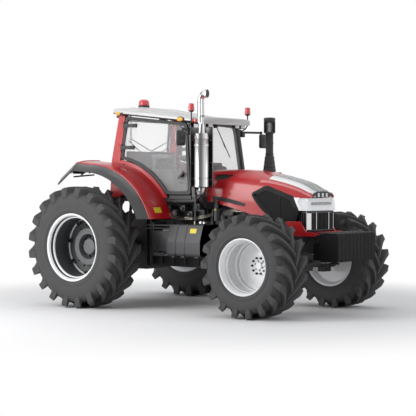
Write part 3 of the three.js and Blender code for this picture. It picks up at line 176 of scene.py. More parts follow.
def sided(side, points):
    # Points drawn on the left, laid on a side
    return [(x, side * y, z) for x, y, z in points]


def extruded(outline, low, high, axis="y"):
    # An outline carried along an axis: (x, z) across y, (y, z) along x, or (x, y) up z
    outline = np.asarray(outline, float)
    ends = []
    for value in (low, high):
        column = np.full(len(outline), value)
        a, b = outline[:, 0], outline[:, 1]
        ends.append(np.stack({"y": (a, column, b), "x": (column, a, b), "z": (a, b, column)}[axis], -1))
    return grid(np.array(ends), wrapColumns=True, caps=True)


def block(low, high):
    (x0, y0, z0), (x1, y1, z1) = low, high
    return extruded([(x0, z0), (x1, z0), (x1, z1), (x0, z1)], y0, y1)


def roundedBox(low, high, radius, steps=4):
    # Corners pulled on to a ball: a point is the nearest inner core point plus the radius outwards
    low, high = np.asarray(low, float), np.asarray(high, float)
    angle = np.linspace(-np.pi / 2, np.pi / 2, 2 * steps)
    turn = np.concatenate([np.linspace(0, np.pi / 2, steps) + k * np.pi / 2 for k in range(4)])
    direction = np.stack([
        np.outer(np.cos(angle), np.cos(turn)), np.outer(np.cos(angle), np.sin(turn)),
        np.outer(np.sin(angle), np.ones(len(turn))),
    ], -1)
    corner = np.ones(direction.shape)
    corner[..., 2] = np.where(angle < 0, -1.0, 1.0)[:, None]
    quarter = np.repeat(np.arange(4), steps)
    corner[..., 0] = np.where((quarter == 0) | (quarter == 3), 1.0, -1.0)[None, :]
    corner[..., 1] = np.where(quarter < 2, 1.0, -1.0)[None, :]
    half = (high - low) / 2 - radius
    return grid((low + high) / 2 + corner * half + direction * radius, wrapColumns=True, caps=True)


def sideBox(side, x, y, z, radius, steps=4):
    # A rounded box between pairs of x, y and z drawn on the left, laid on a side
    y0, y1 = sorted((side * y[0], side * y[1]))
    return roundedBox((x[0], y0, z[0]), (x[1], y1, z[1]), radius, steps)


def combined(first, second, operation):
    # Two closed shapes joined, cut or crossed by Blender's own boolean
    objects = []
    for shape in (first, second):
        mesh = bpy.data.meshes.new("tool")
        mesh.from_pydata(shape.points.tolist(), [], shape.faces)
        cleaned(mesh)
        objects.append(bpy.data.objects.new("tool", mesh))
        bpy.context.scene.collection.objects.link(objects[-1])
    cut = objects[0].modifiers.new("cut", "BOOLEAN")
    cut.operation, cut.solver, cut.object = operation, "MANIFOLD", objects[1]
    made = objects[0].evaluated_get(bpy.context.evaluated_depsgraph_get()).to_mesh()
    points = np.empty(3 * len(made.vertices))
    made.vertices.foreach_get("co", points)
    faces = [tuple(polygon.vertices) for polygon in made.polygons]
    result = Shape(points, faces)
    for item in objects:
        bpy.data.objects.remove(item)
    return result


def cleaned(mesh, merge=1e-5, flatten=0.0):
    # Doubled points and flat slivers go, faces within `flatten` degrees become one, normals face out
    made = bmesh.new()
    made.from_mesh(mesh)
    bmesh.ops.remove_doubles(made, verts=made.verts, dist=merge)
    bmesh.ops.dissolve_degenerate(made, edges=made.edges, dist=merge)
    if flatten:
        bmesh.ops.dissolve_limit(
            made, angle_limit=math.radians(flatten), verts=made.verts, edges=made.edges)
    bmesh.ops.recalc_face_normals(made, faces=made.faces)
    made.to_mesh(mesh)
    made.free()


def softened(item, width, segments=2, angle=32):
    # Edges sharper than the angle are rounded by a bevel of this width
    bevel = item.modifiers.new("rounded edges", "BEVEL")
    bevel.width, bevel.segments = width, segments
    bevel.limit_method, bevel.angle_limit = "ANGLE", math.radians(angle)
    bevel.use_clamp_overlap, bevel.harden_normals = True, True


def shaded(mesh, angle=35):
    mesh.polygons.foreach_set("use_smooth", np.ones(len(mesh.polygons), bool))
    mesh.set_sharp_from_angle(angle=math.radians(angle))


def placed(name, mesh, body, replaces, bevel, angle=35):
    # A mesh becomes an object that rides on a body and stands for the nodes that it replaces
    shaded(mesh, angle)
    item = bpy.data.objects.new(name, mesh)
    bpy.context.scene.collection.objects.link(item)
    if bevel:
        softened(item, bevel)
    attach(item, body)
    if replaces:
        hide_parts(*replaces)
    return item


def piece(name, shape, body, finishes, bevel=0.0, replaces=(), angle=35):
    # A shape drawn from the rear axle, moved into the frame and given its finishes
    mesh = bpy.data.meshes.new(name)
    mesh.from_pydata((shape.points + [axleX, 0, 0]).tolist(), [], shape.faces)
    for material in finishes if isinstance(finishes, list) else [finishes]:
        mesh.materials.append(material)
    mesh.polygons.foreach_set("material_index", np.array(shape.finishes, np.int32))
    cleaned(mesh)
    return placed(name, mesh, body, replaces, bevel, angle)


def refined(node, material, bevel):
    # A copy of a node with its flat faces made whole and its edges rounded
    mesh = frame["nodes"][node].data.copy()
    mesh.materials.clear()
    mesh.materials.append(material)
    cleaned(mesh, flatten=0.4)
    placed(node + "_finished", mesh, bodyOf[node], [node], bevel)


# ---- finishes ----

class Socket:
    # A socket of a shader: sums written with it become Math nodes
    def __init__(self, nodes, link):
        self.nodes, self.link = nodes, link

    def math(self, operation, *values):
        # A Math node over the values given, which may be sockets or numbers
        return self.nodes.node("ShaderNodeMath", {"operation": operation}, dict(enumerate(values)))

    def __add__(self, other):
        return self.math("ADD", self, other)

    def __mul__(self, other):
        return self.math("MULTIPLY", self, other)

    def __sub__(self, other):
        return self.math("SUBTRACT", self, other)

    def __rsub__(self, other):
        return self.math("SUBTRACT", other, self)

    __radd__, __rmul__ = __add__, __mul__


class Nodes:
    # Adds nodes to one tree: the kind and its settings, then its inputs, which may be sockets or values
    def __init__(self, tree):
        self.tree = tree

    def node(self, kind, settings=None, inputs=None, output=0):
        made = self.tree.nodes.new(kind)
        for key, value in (settings or {}).items():
            setattr(made, key, value)
        for key, value in (inputs or {}).items():
            if isinstance(value, Socket):
                self.tree.links.new(value.link, made.inputs[key])
            else:
                made.inputs[key].default_value = value
        return Socket(self, made.outputs[output])


class Paint(Nodes):
    # A Principled material; values that do not vary sit on the shader's own sockets
    def __init__(self, name, **fixed):
        self.material = bpy.data.materials.new(name)
        self.material.use_nodes = True
        super().__init__(self.material.node_tree)
        self.shader = self.tree.nodes["Principled BSDF"]
        for key, value in fixed.items():
            self.shader.inputs[key.replace("_", " ")].default_value = value

    def feed(self, key, value):
        self.tree.links.new(value.link, self.shader.inputs[key])
        return self

    def place(self):
        return self.node("ShaderNodeTexCoord", output="Object")

    def noise(self, scale, detail=2.0, roughness=0.5):
        return self.node("ShaderNodeTexNoise", {}, {
            "Vector": self.place(), "Scale": scale, "Detail": detail, "Roughness": roughness})

    def blend(self, factor, first, second):
        return self.node("ShaderNodeMix", {"data_type": "RGBA"}, {0: factor, 6: first, 7: second}, output=2)

    def tones(self, factor, colour, dark, light, key="Base Color"):
        # The colour times two gains, mixed by the factor
        return self.feed(key, self.blend(factor, tint(colour, dark), tint(colour, light)))

    def wave(self, direction, scale):
        inputs = {"Vector": self.place(), "Scale": scale}
        return self.node("ShaderNodeTexWave", {"bands_direction": direction}, inputs)

    def bump(self, height, strength, distance):
        normal = self.node("ShaderNodeBump", {}, {
            "Height": height, "Strength": strength, "Distance": distance})
        return self.feed("Normal", normal)


def tint(colour, gain=1.0):
    return (colour[0] * gain, colour[1] * gain, colour[2] * gain, 1.0)


def plainFinish(name, colour, rough, variation=0.12, patch=3.0, grain=220.0, depth=0.0004, **fixed):
    # Two close tones in soft patches, roughness that drifts with them, and a fine grain in the bump
    paint = Paint(name, **fixed)
    patches = paint.noise(patch, 3.0)
    paint.tones(patches, colour, 1 - variation, 1 + variation)
    paint.feed("Roughness", patches * (0.3 * rough) + 0.85 * rough)
    paint.bump(paint.noise(grain, 2.0), 0.35, depth)
    return paint.material


def glossPaint(name, colour):
    # Body paint: almost even colour under a clear coat with faint orange peel
    paint = Paint(name, Coat_Weight=0.4, Coat_Roughness=0.07, Specular_IOR_Level=0.5)
    cloud = paint.noise(1.6, 2.0)
    paint.tones(cloud, colour, 0.93, 1.07)
    paint.feed("Roughness", paint.noise(60.0) * 0.1 + 0.27)
    paint.bump(paint.noise(260.0, 1.0), 0.08, 0.0003)
    return paint.material


def rubberFinish(name, colour):
    # Moulded rubber: a dull skin with fine pores and a slightly paler bloom in patches
    paint = Paint(name, Specular_IOR_Level=0.35)
    bloom = paint.noise(5.0, 4.0, 0.6)
    pores = paint.noise(150.0, 3.0, 0.65)
    paint.tones(bloom * 0.7 + pores * 0.3, colour, 0.8, 1.22)
    paint.feed("Roughness", pores * 0.2 + 0.62)
    paint.bump(pores + paint.noise(40.0, 2.0) * 0.6, 0.4, 0.0015)
    return paint.material


def castFinish(name, colour):
    # Painted sand casting: a coarse skin under semi-matt paint
    paint = Paint(name, Specular_IOR_Level=0.5)
    skin = paint.noise(90.0, 4.0, 0.7)
    patches = paint.noise(4.0, 3.0)
    paint.tones(patches, colour, 0.75, 1.3)
    paint.feed("Roughness", skin * 0.25 + 0.38)
    paint.bump(skin, 0.5, 0.0025)
    return paint.material


def brushedFinish(name, colour, rough):
    # Rolled metal: fine scratches that run round the upright parts, from noise squeezed in height
    paint = Paint(name, Metallic=1.0)
    stretched = paint.node("ShaderNodeMapping", {}, {"Vector": paint.place(), "Scale": (6.0, 6.0, 260.0)})
    lines = paint.node("ShaderNodeTexNoise", {}, {"Vector": stretched, "Scale": 1.0, "Detail": 3.0})
    cloud = paint.noise(5.0, 3.0)
    paint.tones(cloud, colour, 0.85, 1.1)
    paint.feed("Roughness", lines * 0.16 + cloud * 0.1 + (rough - 0.1))
    paint.bump(lines, 0.12, 0.0003)
    return paint.material


# light and dark bands painted round the silencer to stand in for reflections
paintedReflectionBands = {"count": 5.0, "phase": 2.18, "contrast": 0.55}


def reflectionBandedSteel(name, centre, dark, light, rough):
    # Steel with painted reflections: tone follows the cosine of the bands' count times the angle round its
    # axis, placed where bright and dark reflections fall, with rolled streaks over it
    paint = Paint(name, Metallic=1.0)
    place = paint.node("ShaderNodeVectorMath", {"operation": "SUBTRACT"}, {0: paint.place(), 1: centre})
    x = paint.node("ShaderNodeSeparateXYZ", {}, {"Vector": place}, output=0)
    y = paint.node("ShaderNodeSeparateXYZ", {}, {"Vector": place}, output=1)
    wave = y.math("ARCTAN2", y, x) * paintedReflectionBands["count"] + paintedReflectionBands["phase"]
    bands = wave.math("COSINE", wave) * paintedReflectionBands["contrast"] + 0.5
    stretched = paint.node("ShaderNodeMapping", {}, {"Vector": place, "Scale": (40.0, 40.0, 0.6)})
    streaks = paint.node("ShaderNodeTexNoise", {}, {"Vector": stretched, "Scale": 1.0, "Detail": 3.0})
    factor = paint.node("ShaderNodeClamp", {}, {"Value": bands + (streaks - 0.5) * 0.5})
    paint.feed("Base Color", paint.blend(factor, tint(dark), tint(light)))
    paint.feed("Roughness", streaks * 0.15 + (rough - 0.05))
    paint.bump(streaks, 0.12, 0.0003)
    return paint.material


def glassFinish(name, colour, alpha, rough=0.06):
    paint = Paint(name, Alpha=alpha, IOR=1.45, Specular_IOR_Level=0.5)
    cloud = paint.noise(2.0, 2.0)
    paint.tones(cloud, colour, 0.97, 1.03)
    paint.feed("Roughness", cloud * 0.04 + rough)
    return paint.material


def lampFinish(name, colour, glow=0.0):
    # Ribbed coloured lens: upright prisms in the bump
    paint = Paint(name, Coat_Weight=0.8, Coat_Roughness=0.05, Specular_IOR_Level=0.6, Emission_Strength=glow)
    ribs = paint.wave("Z", 60.0)
    paint.tones(ribs, colour, 0.75, 1.1)
    paint.tones(ribs, colour, 0.8, 1.0, "Emission Color")
    paint.feed("Roughness", ribs * 0.08 + 0.14)
    paint.bump(ribs, 0.3, 0.001)
    return paint.material


def clothFinish(name, colour):
    # Woven seat cloth: crossed threads in the bump and a speckle of two greys
    paint = Paint(name, Sheen_Weight=0.35, Sheen_Roughness=0.5, Specular_IOR_Level=0.2)
    warp = paint.wave("X", 140.0)
    weft = paint.wave("Y", 140.0)
    speckle = paint.noise(420.0, 2.0)
    paint.feed("Base Color",
               paint.blend(speckle * 0.6 + warp * weft * 0.4, tint(colour, 0.6), tint(colour, 1.5)))
    paint.feed("Roughness", speckle * 0.1 + 0.8)
    paint.bump(warp + weft, 0.4, 0.0008)
    return paint.material


def meshFinish(name, colour):
    # Woven wire behind the grille: fine level wires crossed by upright ones
    paint = Paint(name, Specular_IOR_Level=0.18)
    level = paint.wave("Z", 26.0)
    upright = paint.wave("X", 26.0)
    wires = level * 0.75 + upright * 0.25
    paint.tones(wires, colour, 0.25, 1.6)
    paint.feed("Roughness", wires * 0.2 + 0.45)
    paint.bump(wires, 0.8, 0.004)
    return paint.material


redPaint = glossPaint("red body paint", (0.47, 0.007, 0.011))
roofPaint = plainFinish(
    "pale roof shell", (0.6, 0.6, 0.595), 0.3, 0.03, 1.5, 300.0, 0.0002, Coat_Weight=0.3,
    Coat_Roughness=0.1)
tyreRubber = rubberFinish("tyre rubber", (0.062, 0.062, 0.063))
stripRubber = plainFinish("flexible fender edge", (0.028, 0.029, 0.031), 0.3, 0.15, 6.0, 160.0, 0.0004,
                          Coat_Weight=0.5, Coat_Roughness=0.2)
whiteRim = plainFinish(
    "silver white wheel paint", (0.9, 0.905, 0.91), 0.3, 0.04, 4.0, 320.0, 0.0002, Coat_Weight=0.3)
silverBarrel = plainFinish(
    "silver wheel barrel", (0.66, 0.665, 0.67), 0.26, 0.06, 4.0, 320.0, 0.0002, Metallic=0.5)
darkRim = plainFinish("grey wheel paint", (0.055, 0.056, 0.058), 0.42, 0.12, 5.0, 200.0, 0.0004)
greyRing = plainFinish("hub ring paint", (0.15, 0.152, 0.155), 0.4, 0.1, 6.0, 200.0, 0.0004)
darkBolt = plainFinish("blacked steel", (0.03, 0.03, 0.032), 0.4, 0.2, 20.0, 300.0, 0.0003, Metallic=0.6)
castIron = castFinish("black painted casting", (0.022, 0.022, 0.024))
greyCast = castFinish("grey painted casting", (0.07, 0.071, 0.074))
blackPaint = plainFinish("black sheet paint", (0.012, 0.012, 0.013), 0.38, 0.2, 3.0, 240.0, 0.0003)
tankPlastic = plainFinish("moulded tank", (0.05, 0.051, 0.054), 0.45, 0.12, 3.0, 190.0, 0.0007)
blackPlastic = plainFinish("black trim plastic", (0.02, 0.02, 0.022), 0.5, 0.15, 5.0, 420.0, 0.0006)
grilleMesh = meshFinish("grille mesh", (0.013, 0.013, 0.014))
grilleEdge = plainFinish("grille surround", (0.009, 0.009, 0.01), 0.5, 0.15, 5.0, 420.0, 0.0006,
                         Specular_IOR_Level=0.22)
lampBowl = lampFinish("lamp bowl", (0.88, 0.89, 0.9), 0.3)
greyPlastic = plainFinish("grey cab plastic", (0.2, 0.2, 0.205), 0.6, 0.1, 5.0, 420.0, 0.0006)
weightSide = plainFinish("weight sides", (0.005, 0.005, 0.006), 0.6, 0.15, 6.0, 120.0, 0.001,
                         Specular_IOR_Level=0.15)
# the weights' front face is painted pale grey for the light falling on it; their sides stay near black
weightFacePaintedLit = plainFinish("ribbed weight face painted lit", (0.26, 0.262, 0.266), 0.5, 0.12, 6.0, 120.0, 0.001)
chrome = brushedFinish("bright steel", (0.7, 0.7, 0.71), 0.16)
# the silencer's light and dark bands are painted reflections
mufflerPaintedReflections = reflectionBandedSteel("silencer steel with painted reflection bands", (1.802 + axleX, -0.718, 0), (0.13, 0.13, 0.135),
                           (0.66, 0.66, 0.665), 0.24)
shieldSteel = brushedFinish("dull shield steel", (0.24, 0.24, 0.245), 0.45)
stainless = brushedFinish("heat-tinted steel", (0.5, 0.5, 0.51), 0.34)
clearGlass = glassFinish("cab glass", (0.93, 0.94, 0.95), 0.13)
screenGlass = glassFinish("windscreen glass", (0.93, 0.94, 0.95), 0.14)
lampGlass = glassFinish("clear lamp lens", (0.9, 0.92, 0.93), 0.22, 0.03)
tubeGlass = glassFinish("clear duct", (0.8, 0.82, 0.83), 0.45, 0.05)
silverTrim = plainFinish(
    "silver vent paint", (0.66, 0.67, 0.68), 0.28, 0.05, 6.0, 300.0, 0.0002, Metallic=0.35, Coat_Weight=0.3)
mirrorGlass = plainFinish("mirror", (0.75, 0.76, 0.77), 0.06, 0.02, 2.0, 10.0, 0.0, Metallic=1.0)
amberLens = lampFinish("amber lens", (0.88, 0.42, 0.015), 0.15)
redLens = lampFinish("red lens", (0.62, 0.02, 0.03), 0.12)
whiteLens = lampFinish("white lens", (0.8, 0.8, 0.82), 0.05)
yellowLabel = plainFinish("blank yellow label", (0.8, 0.62, 0.03), 0.4, 0.05, 30.0, 400.0, 0.0001)
seatCloth = clothFinish("seat cloth", (0.05, 0.05, 0.055))
hoseRubber = plainFinish("hose rubber", (0.018, 0.018, 0.019), 0.5, 0.2, 30.0, 200.0, 0.0006)
steelPipe = brushedFinish("zinc pipe", (0.62, 0.58, 0.46), 0.3)
print("finishes made")


# ---- wheels ----

def wheelPlace(node):
    # Radius, width, middle and place along the tractor, read from the frame's tyre
    low, high = boxOf(node + "_tyre_left")
    return {"node": node, "radius": (high[2] - low[2]) / 2, "width": high[1] - low[1],
            "middle": (high[1] + low[1]) / 2, "x": (high[0] + low[0]) / 2}


rearWheel = wheelPlace("rear") | {
    "seat": 0.484, "flange": 0.515, "lugs": 20, "lugDepth": 0.07, "lugWidth": 0.1, "sweep": 0.4}
frontWheel = wheelPlace("front") | {
    "seat": 0.381, "flange": 0.404, "lugs": 18, "lugDepth": 0.06, "lugWidth": 0.085, "sweep": 0.46}


def carcass(wheel, count=120):
    # The casing: a smooth section through bead, bulging sidewall, shoulder and crown, spun about the axle
    r, w, f = wheel["radius"], wheel["width"] / 2, wheel["flange"]
    d = wheel["lugDepth"]
    wall = r - f
    half = [
        (wheel["seat"] + 0.001, 0.7 * w), (f - 0.008, 0.865 * w), (f + 0.05 * wall, 0.93 * w),
        (f + 0.09 * wall, 0.955 * w), (f + 0.11 * wall, 0.98 * w), (f + 0.18 * wall, 0.982 * w),
        (f + 0.2 * wall, 0.97 * w), (f + 0.35 * wall, 0.99 * w), (f + 0.48 * wall, 0.98 * w),
        (f + 0.58 * wall, 0.955 * w), (r - 2.0 * d, 0.91 * w), (r - 1.45 * d, 0.8 * w),
        (r - 1.2 * d, 0.6 * w), (r - 1.05 * d, 0.3 * w), (r - d, 0),
    ]
    left = smoothLine(half, 3)
    section = np.vstack([left, (left * [1, -1])[::-1][1:]])
    return turnedShape(section, (0, 0, 0), "y", count)


def lugs(wheel, side):
    # Each bar is a six-sided section carried from the sidewall over the shoulder to past the middle.
    # On the way t inwards it turns by the sweep times (0.3 t + 0.7 t to the power 1.7), so that it hooks
    r, w, d = wheel["radius"], wheel["width"] / 2, wheel["lugDepth"]
    way = np.array([-0.12, -0.06, 0.0, 0.06, 0.16, 0.3, 0.45, 0.6, 0.75, 0.88, 1.0])
    base = np.array([
        (r - 2.45 * d, 0.93), (r - 2.3 * d, 0.93), (r - 2.0 * d, 0.9), (r - 1.65 * d, 0.83),
        (r - 1.4 * d, 0.74), (r - 1.28 * d, 0.6), (r - 1.2 * d, 0.46), (r - 1.14 * d, 0.32),
        (r - 1.1 * d, 0.18),
        (r - 1.08 * d, 0.05), (r - 1.08 * d, -0.06)])
    top = np.array([
        (r - 2.3 * d, 0.975), (r - 1.7 * d, 0.995), (r - 0.8 * d, 1.0), (r - 0.18 * d, 0.955),
        (r - 0.04 * d, 0.83), (r, 0.66), (r, 0.5), (r, 0.35), (r, 0.2), (r, 0.07), (r - 0.06 * d, -0.04)])
    turn = wheel["sweep"] * (0.3 * way + 0.7 * np.clip(way, 0, 1) ** 1.7)
    half = wheel["lugWidth"] / 2 / r * np.array([0.8, 0.95, 1.05, 1.1, 1.1, 1.0, 0.92, 0.85, 0.8, 0.78, 0.74])
    ring = [
        (base, -1.45, 0.0), (top, -1.06, -0.12), (top, -0.86, 0.0),
        (top, 0.86, 0.0), (top, 1.06, -0.12), (base, 1.45, 0.0)]
    first = 2 * np.pi * (np.arange(wheel["lugs"]) + (0.5 if side < 0 else 0)) / wheel["lugs"]
    columns = []
    for edge, across, drop in ring:
        angle = first[:, None] + (turn + across * half)[None, :]
        radius = (edge[:, 0] + drop * d)[None, :]
        y = np.broadcast_to(side * edge[:, 1] * w, angle.shape)
        columns.append(np.stack([radius * np.sin(angle), y, radius * np.cos(angle)], -1))
    bars = np.stack(columns, 2)                     # lug, station, corner, xyz
    return joined([grid(bar, wrapColumns=True, caps=True) for bar in bars])


def tyre(wheel, name, side):
    centre = (wheel["x"], side * wheel["middle"], wheel["radius"])
    shape = joined([carcass(wheel), lugs(wheel, 1), lugs(wheel, -1)]).moved(*centre)
    node = f"{wheel['node']}_tyre_{name}"
    piece(node + "_treaded", shape, bodyOf[node], tyreRubber, replaces=[node], angle=38)


def boltCircle(count, radius, along, size, length, first):
    # Nuts on washers in a circle about the axle
    nut = rod((radius, 0, 0), (radius, length, 0), size, 6)
    washer = rod((radius, 0, 0), (radius, 0.25 * length, 0), size * 1.5, 14)
    return around(joined([nut, washer]), count, (0, 1, 0), (0, 0, 0), first).moved(0, along, 0)


def makeRim(wheel, name, side, profile, finishes, fittings, materials):
    # The profile spun about the axle, with fittings drawn for the left wheel
    centre = np.array([wheel["x"], 0, wheel["radius"]])
    line = [(row[0], side * row[1]) for row in profile]
    rim = turnedShape(line, centre, "y", 96, finishes)
    fittings = joined(fittings)
    fittings = (fittings if side > 0 else fittings.mirrored()).moved(*centre)
    node = f"{wheel['node']}_rim_{name}"
    piece(node + "_finished", joined([rim, fittings]), bodyOf[node], materials, replaces=[node],
          angle=30)


rearDisc = {
    # (radius, y, finish) from the stub shaft along the disc's back, round both lips and back along its front
    "profile": [
        (0.0, 0.87, 1), (0.06, 0.87, 1), (0.062, 1.08, 1), (0.2, 1.1, 1), (0.25, 1.13, 1), (0.44, 1.125, 0),
        (0.46, 1.1, 0), (0.472, 1.085, 0), (0.512, 1.074, 0), (0.518, 1.08, 0), (0.512, 1.089, 0),
        (0.494, 1.092, 0), (0.4835, 1.11, 0), (0.4835, 1.2, 0), (0.455, 1.23, 0), (0.455, 1.48, 0),
        (0.4835, 1.51, 0), (0.4835, 1.59, 0), (0.494, 1.608, 0), (0.512, 1.611, 0), (0.518, 1.618, 0),
        (0.516, 1.627, 0), (0.508, 1.628, 0), (0.489, 1.616, 0), (0.482, 1.6, 0), (0.474, 1.588, 1),
        (0.468, 1.565, 1), (0.466, 1.548, 0), (0.452, 1.54, 0), (0.447, 1.53, 0), (0.447, 1.52, 1),
        (0.437, 1.495, 1), (0.437, 1.27, 1), (0.443, 1.235, 1), (0.455, 1.215, 1), (0.459, 1.205, 0),
        (0.452, 1.196, 0), (0.44, 1.192, 1), (0.405, 1.187, 1), (0.32, 1.172, 1), (0.292, 1.168, 1),
        (0.288, 1.18, 1), (0.286, 1.25, 2), (0.28, 1.258, 2), (0.2, 1.258, 2), (0.194, 1.252, 2),
        (0.192, 1.17, 1), (0.19, 1.155, 1), (0.125, 1.155, 1), (0.122, 1.165, 2), (0.12, 1.232, 2),
        (0.112, 1.24, 2), (0.06, 1.243, 2), (0.0, 1.243, 2)],
    "clamp": [(-0.035, 0.396), (0.035, 0.396), (0.03, 0.437), (-0.03, 0.437)],
    "clamps": 8, "clampFrom": 1.18, "clampTo": 1.232, "clampTurn": 11,
    # circles of nuts: how many, circle's radius, y, nut's radius, length and first angle
    "nuts": [(8, 0.415, 1.23, 0.014, 0.03, -79), (10, 0.158, 1.155, 0.014, 0.032, 0),
             (16, 0.345, 1.172, 0.011, 0.02, 5)],
}


def rearRim(name, side):
    clamp = extruded(rearDisc["clamp"], rearDisc["clampFrom"], rearDisc["clampTo"])
    clamps = around(clamp, rearDisc["clamps"], (0, 1, 0), (0, 0, 0), rearDisc["clampTurn"]).finish(1)
    fittings = [clamps] + [boltCircle(*nuts).finish(3) for nuts in rearDisc["nuts"]]
    finishes = [number for _, _, number in rearDisc["profile"][:-1]]
    makeRim(rearWheel, name, side, rearDisc["profile"], finishes, fittings,
            [whiteRim, darkRim, greyRing, darkBolt])


frontDisc = {
    # (radius, y) in the same order as the rear one's
    "profile": [
        (0.0, 0.885), (0.047, 0.885), (0.047, 0.93), (0.095, 0.935), (0.1, 0.95), (0.34, 0.945),
        (0.365, 0.9), (0.368, 0.86), (0.376, 0.842), (0.402, 0.834), (0.406, 0.84), (0.4, 0.847),
        (0.386, 0.851), (0.3805, 0.87), (0.3805, 0.94), (0.35, 0.98), (0.35, 1.25), (0.3805, 1.29),
        (0.3805, 1.366), (0.386, 1.384), (0.402, 1.388), (0.406, 1.396), (0.403, 1.403), (0.394, 1.404),
        (0.384, 1.394), (0.376, 1.372), (0.37, 1.35), (0.367, 1.33), (0.361, 1.322), (0.3555, 1.3),
        (0.347, 1.262), (0.346, 1.09), (0.338, 1.082), (0.338, 1.064), (0.345, 1.056),
        (0.345, 0.99), (0.336, 0.972), (0.318, 0.966), (0.25, 0.972), (0.205, 0.984),
        (0.15, 0.986), (0.146, 0.99), (0.085, 0.99), (0.082, 0.986),
        (0.055, 0.986), (0.053, 1.004), (0.048, 1.012), (0.0, 1.015)],
    "nuts": [(10, 0.114, 0.989, 0.0115, 0.034, 0), (6, 0.068, 0.985, 0.007, 0.016, 20)],
    "valve": ((0.315, 0.96, 0), (0.322, 1.03, 0), 0.006, 8),
    # the barrel between its ridges is greyer: between two radii, nearly level, outside a y
    "greyFrom": 0.342, "greyTo": 0.366, "greyStep": 0.006, "greyOutside": 0.98,
}


def frontRim(name, side):
    profile = frontDisc["profile"]
    finishes = []
    for (radius, y), (following, _) in zip(profile, profile[1:]):
        level = abs(radius - following) < frontDisc["greyStep"] and y > frontDisc["greyOutside"]
        finishes.append(2 if level and frontDisc["greyFrom"] < radius < frontDisc["greyTo"] else 0)
    fittings = [boltCircle(*nuts) for nuts in frontDisc["nuts"]] + [rod(*frontDisc["valve"])]
    fittings = [shape.finish(1) for shape in fittings]
    makeRim(frontWheel, name, side, profile, finishes, fittings, [whiteRim, darkBolt, silverBarrel])


for sideName, sideSign in sides:
    tyre(rearWheel, sideName, sideSign)
    tyre(frontWheel, sideName, sideSign)
    rearRim(sideName, sideSign)
    frontRim(sideName, sideSign)
print("wheels made")


# ---- hood ----

hoodLow = boxOf("hood")[0]
hoodNose = boxOf("front_grille")[1][0]
hood = {
    "rear": hoodLow[0], "length": hoodNose - hoodLow[0], "wall": 0.02,
    # share of the length, top, then shoulder, side and lower edge as (y, z)
    "stations": [
        (0, 2.106, 0.355, 2.035, 0.418, 1.88, 0.42, 1.655),
        (0.24, 2.108, 0.365, 1.988, 0.425, 1.84, 0.424, 1.565),
        (0.43, 2.084, 0.372, 1.942, 0.428, 1.77, 0.422, 1.475),
        (0.63, 2.012, 0.366, 1.892, 0.424, 1.69, 0.41, 1.392),
        (0.85, 1.908, 0.346, 1.78, 0.408, 1.6, 0.392, 1.362),
        (1, 1.772, 0.305, 1.694, 0.352, 1.52, 0.345, 1.362)],
    # side outlines as (distance from the nose, z)
    "grille": [(-0.722, 1.874), (-0.985, 1.752), (-0.905, 1.632), (-0.8, 1.512), (-0.68, 1.425),
               (-0.66, 1.33), (-0.212, 1.33), (-0.152, 1.507), (-0.257, 1.711)],
    "lamp": [(-0.25, 1.697), (-0.152, 1.507), (-0.06, 1.5), (0.06, 1.5), (0.06, 1.688),
             (-0.12, 1.692)],
    "nose": [(-0.158, 1.51), (-0.218, 1.33), (0.06, 1.33), (0.06, 1.51)],
    "upperSlot": [(-1.672, 2.03), (-1.36, 2.026), (-1.4, 1.985), (-1.505, 1.957), (-1.672, 1.95)],
    "louvre": [(-1.725, 1.716), (-1.38, 1.672), (-1.06, 1.594), (-1.105, 1.556), (-1.4, 1.612),
               (-1.68, 1.655)],
    "louvreRibs": (0.012, 0.033, 0.054), "seamX": 2.1, "half": 0.52, "topFrom": 1.693,
    # vent panel, and on each half its silver border, silver stripes and red ridge as pairs of y at the rear
    # and at the front; then the slats' ends over the lamps
    "ventFrom": 2.745, "ventTo": 3.462, "border": ((0.19, 0.352), (0.15, 0.29)),
    "ridge": ((0.35, 0.376), (0.276, 0.304)),
    "stripes": [((0.131, 0.155), (0.103, 0.122)), ((0.071, 0.095), (0.056, 0.075)),
                ((0.011, 0.035), (0.009, 0.028))],
    "slats": 5, "slatReach": 0.21,
    # lamp bar, sill and edge as (distance from the nose, z), and round lamps as (distance, y, z, radius)
    "bar": [(-0.13, 1.588), (0.06, 1.588), (0.06, 1.626), (-0.15, 1.626)],
    "lampSill": [(-0.2, 1.508), (0.06, 1.503), (0.06, 1.52), (-0.19, 1.525)],
    "lampEdge": [(-0.247, 1.695), (-0.15, 1.509), (-0.112, 1.509), (-0.185, 1.64), (-0.165, 1.692)],
    "bulbs": [(-0.06, 0.3, 1.655, 0.026), (-0.06, 0.3, 1.555, 0.026)],
}


def inset(outline, distance):
    # Every edge of the outline moved inwards; each corner is where its two moved edges cross
    p = np.asarray(outline, float)
    following = np.roll(p, -1, axis=0)
    edge = following - p
    turn = np.sign(np.sum(p[:, 0] * following[:, 1] - following[:, 0] * p[:, 1]))
    normal = turn * np.stack([-edge[:, 1], edge[:, 0]], 1) / np.linalg.norm(edge, axis=1)[:, None]
    reach = np.sum(normal * p, 1) + distance
    before, reachBefore = np.roll(normal, 1, axis=0), np.roll(reach, 1)
    cross = before[:, 0] * normal[:, 1] - before[:, 1] * normal[:, 0]
    return np.stack([
        (reachBefore * normal[:, 1] - reach * before[:, 1]) / cross,
        (reach * before[:, 0] - reachBefore * normal[:, 0]) / cross], 1)


def rounded(outline, radius, steps=5):
    # Corners replaced by curves that start and end the same distance from the corner
    p = np.asarray(outline, float)
    t = np.linspace(0, 1, steps)[:, None]
    corners = []
    for before, corner, after in zip(np.roll(p, 1, axis=0), p, np.roll(p, -1, axis=0)):
        a, b = before - corner, after - corner
        reach = min(radius, 0.45 * np.linalg.norm(a), 0.45 * np.linalg.norm(b))
        start, end = corner + a / np.linalg.norm(a) * reach, corner + b / np.linalg.norm(b) * reach
        corners.append((1 - t) ** 2 * start + 2 * t * (1 - t) * corner + t ** 2 * end)
    return np.vstack(corners)


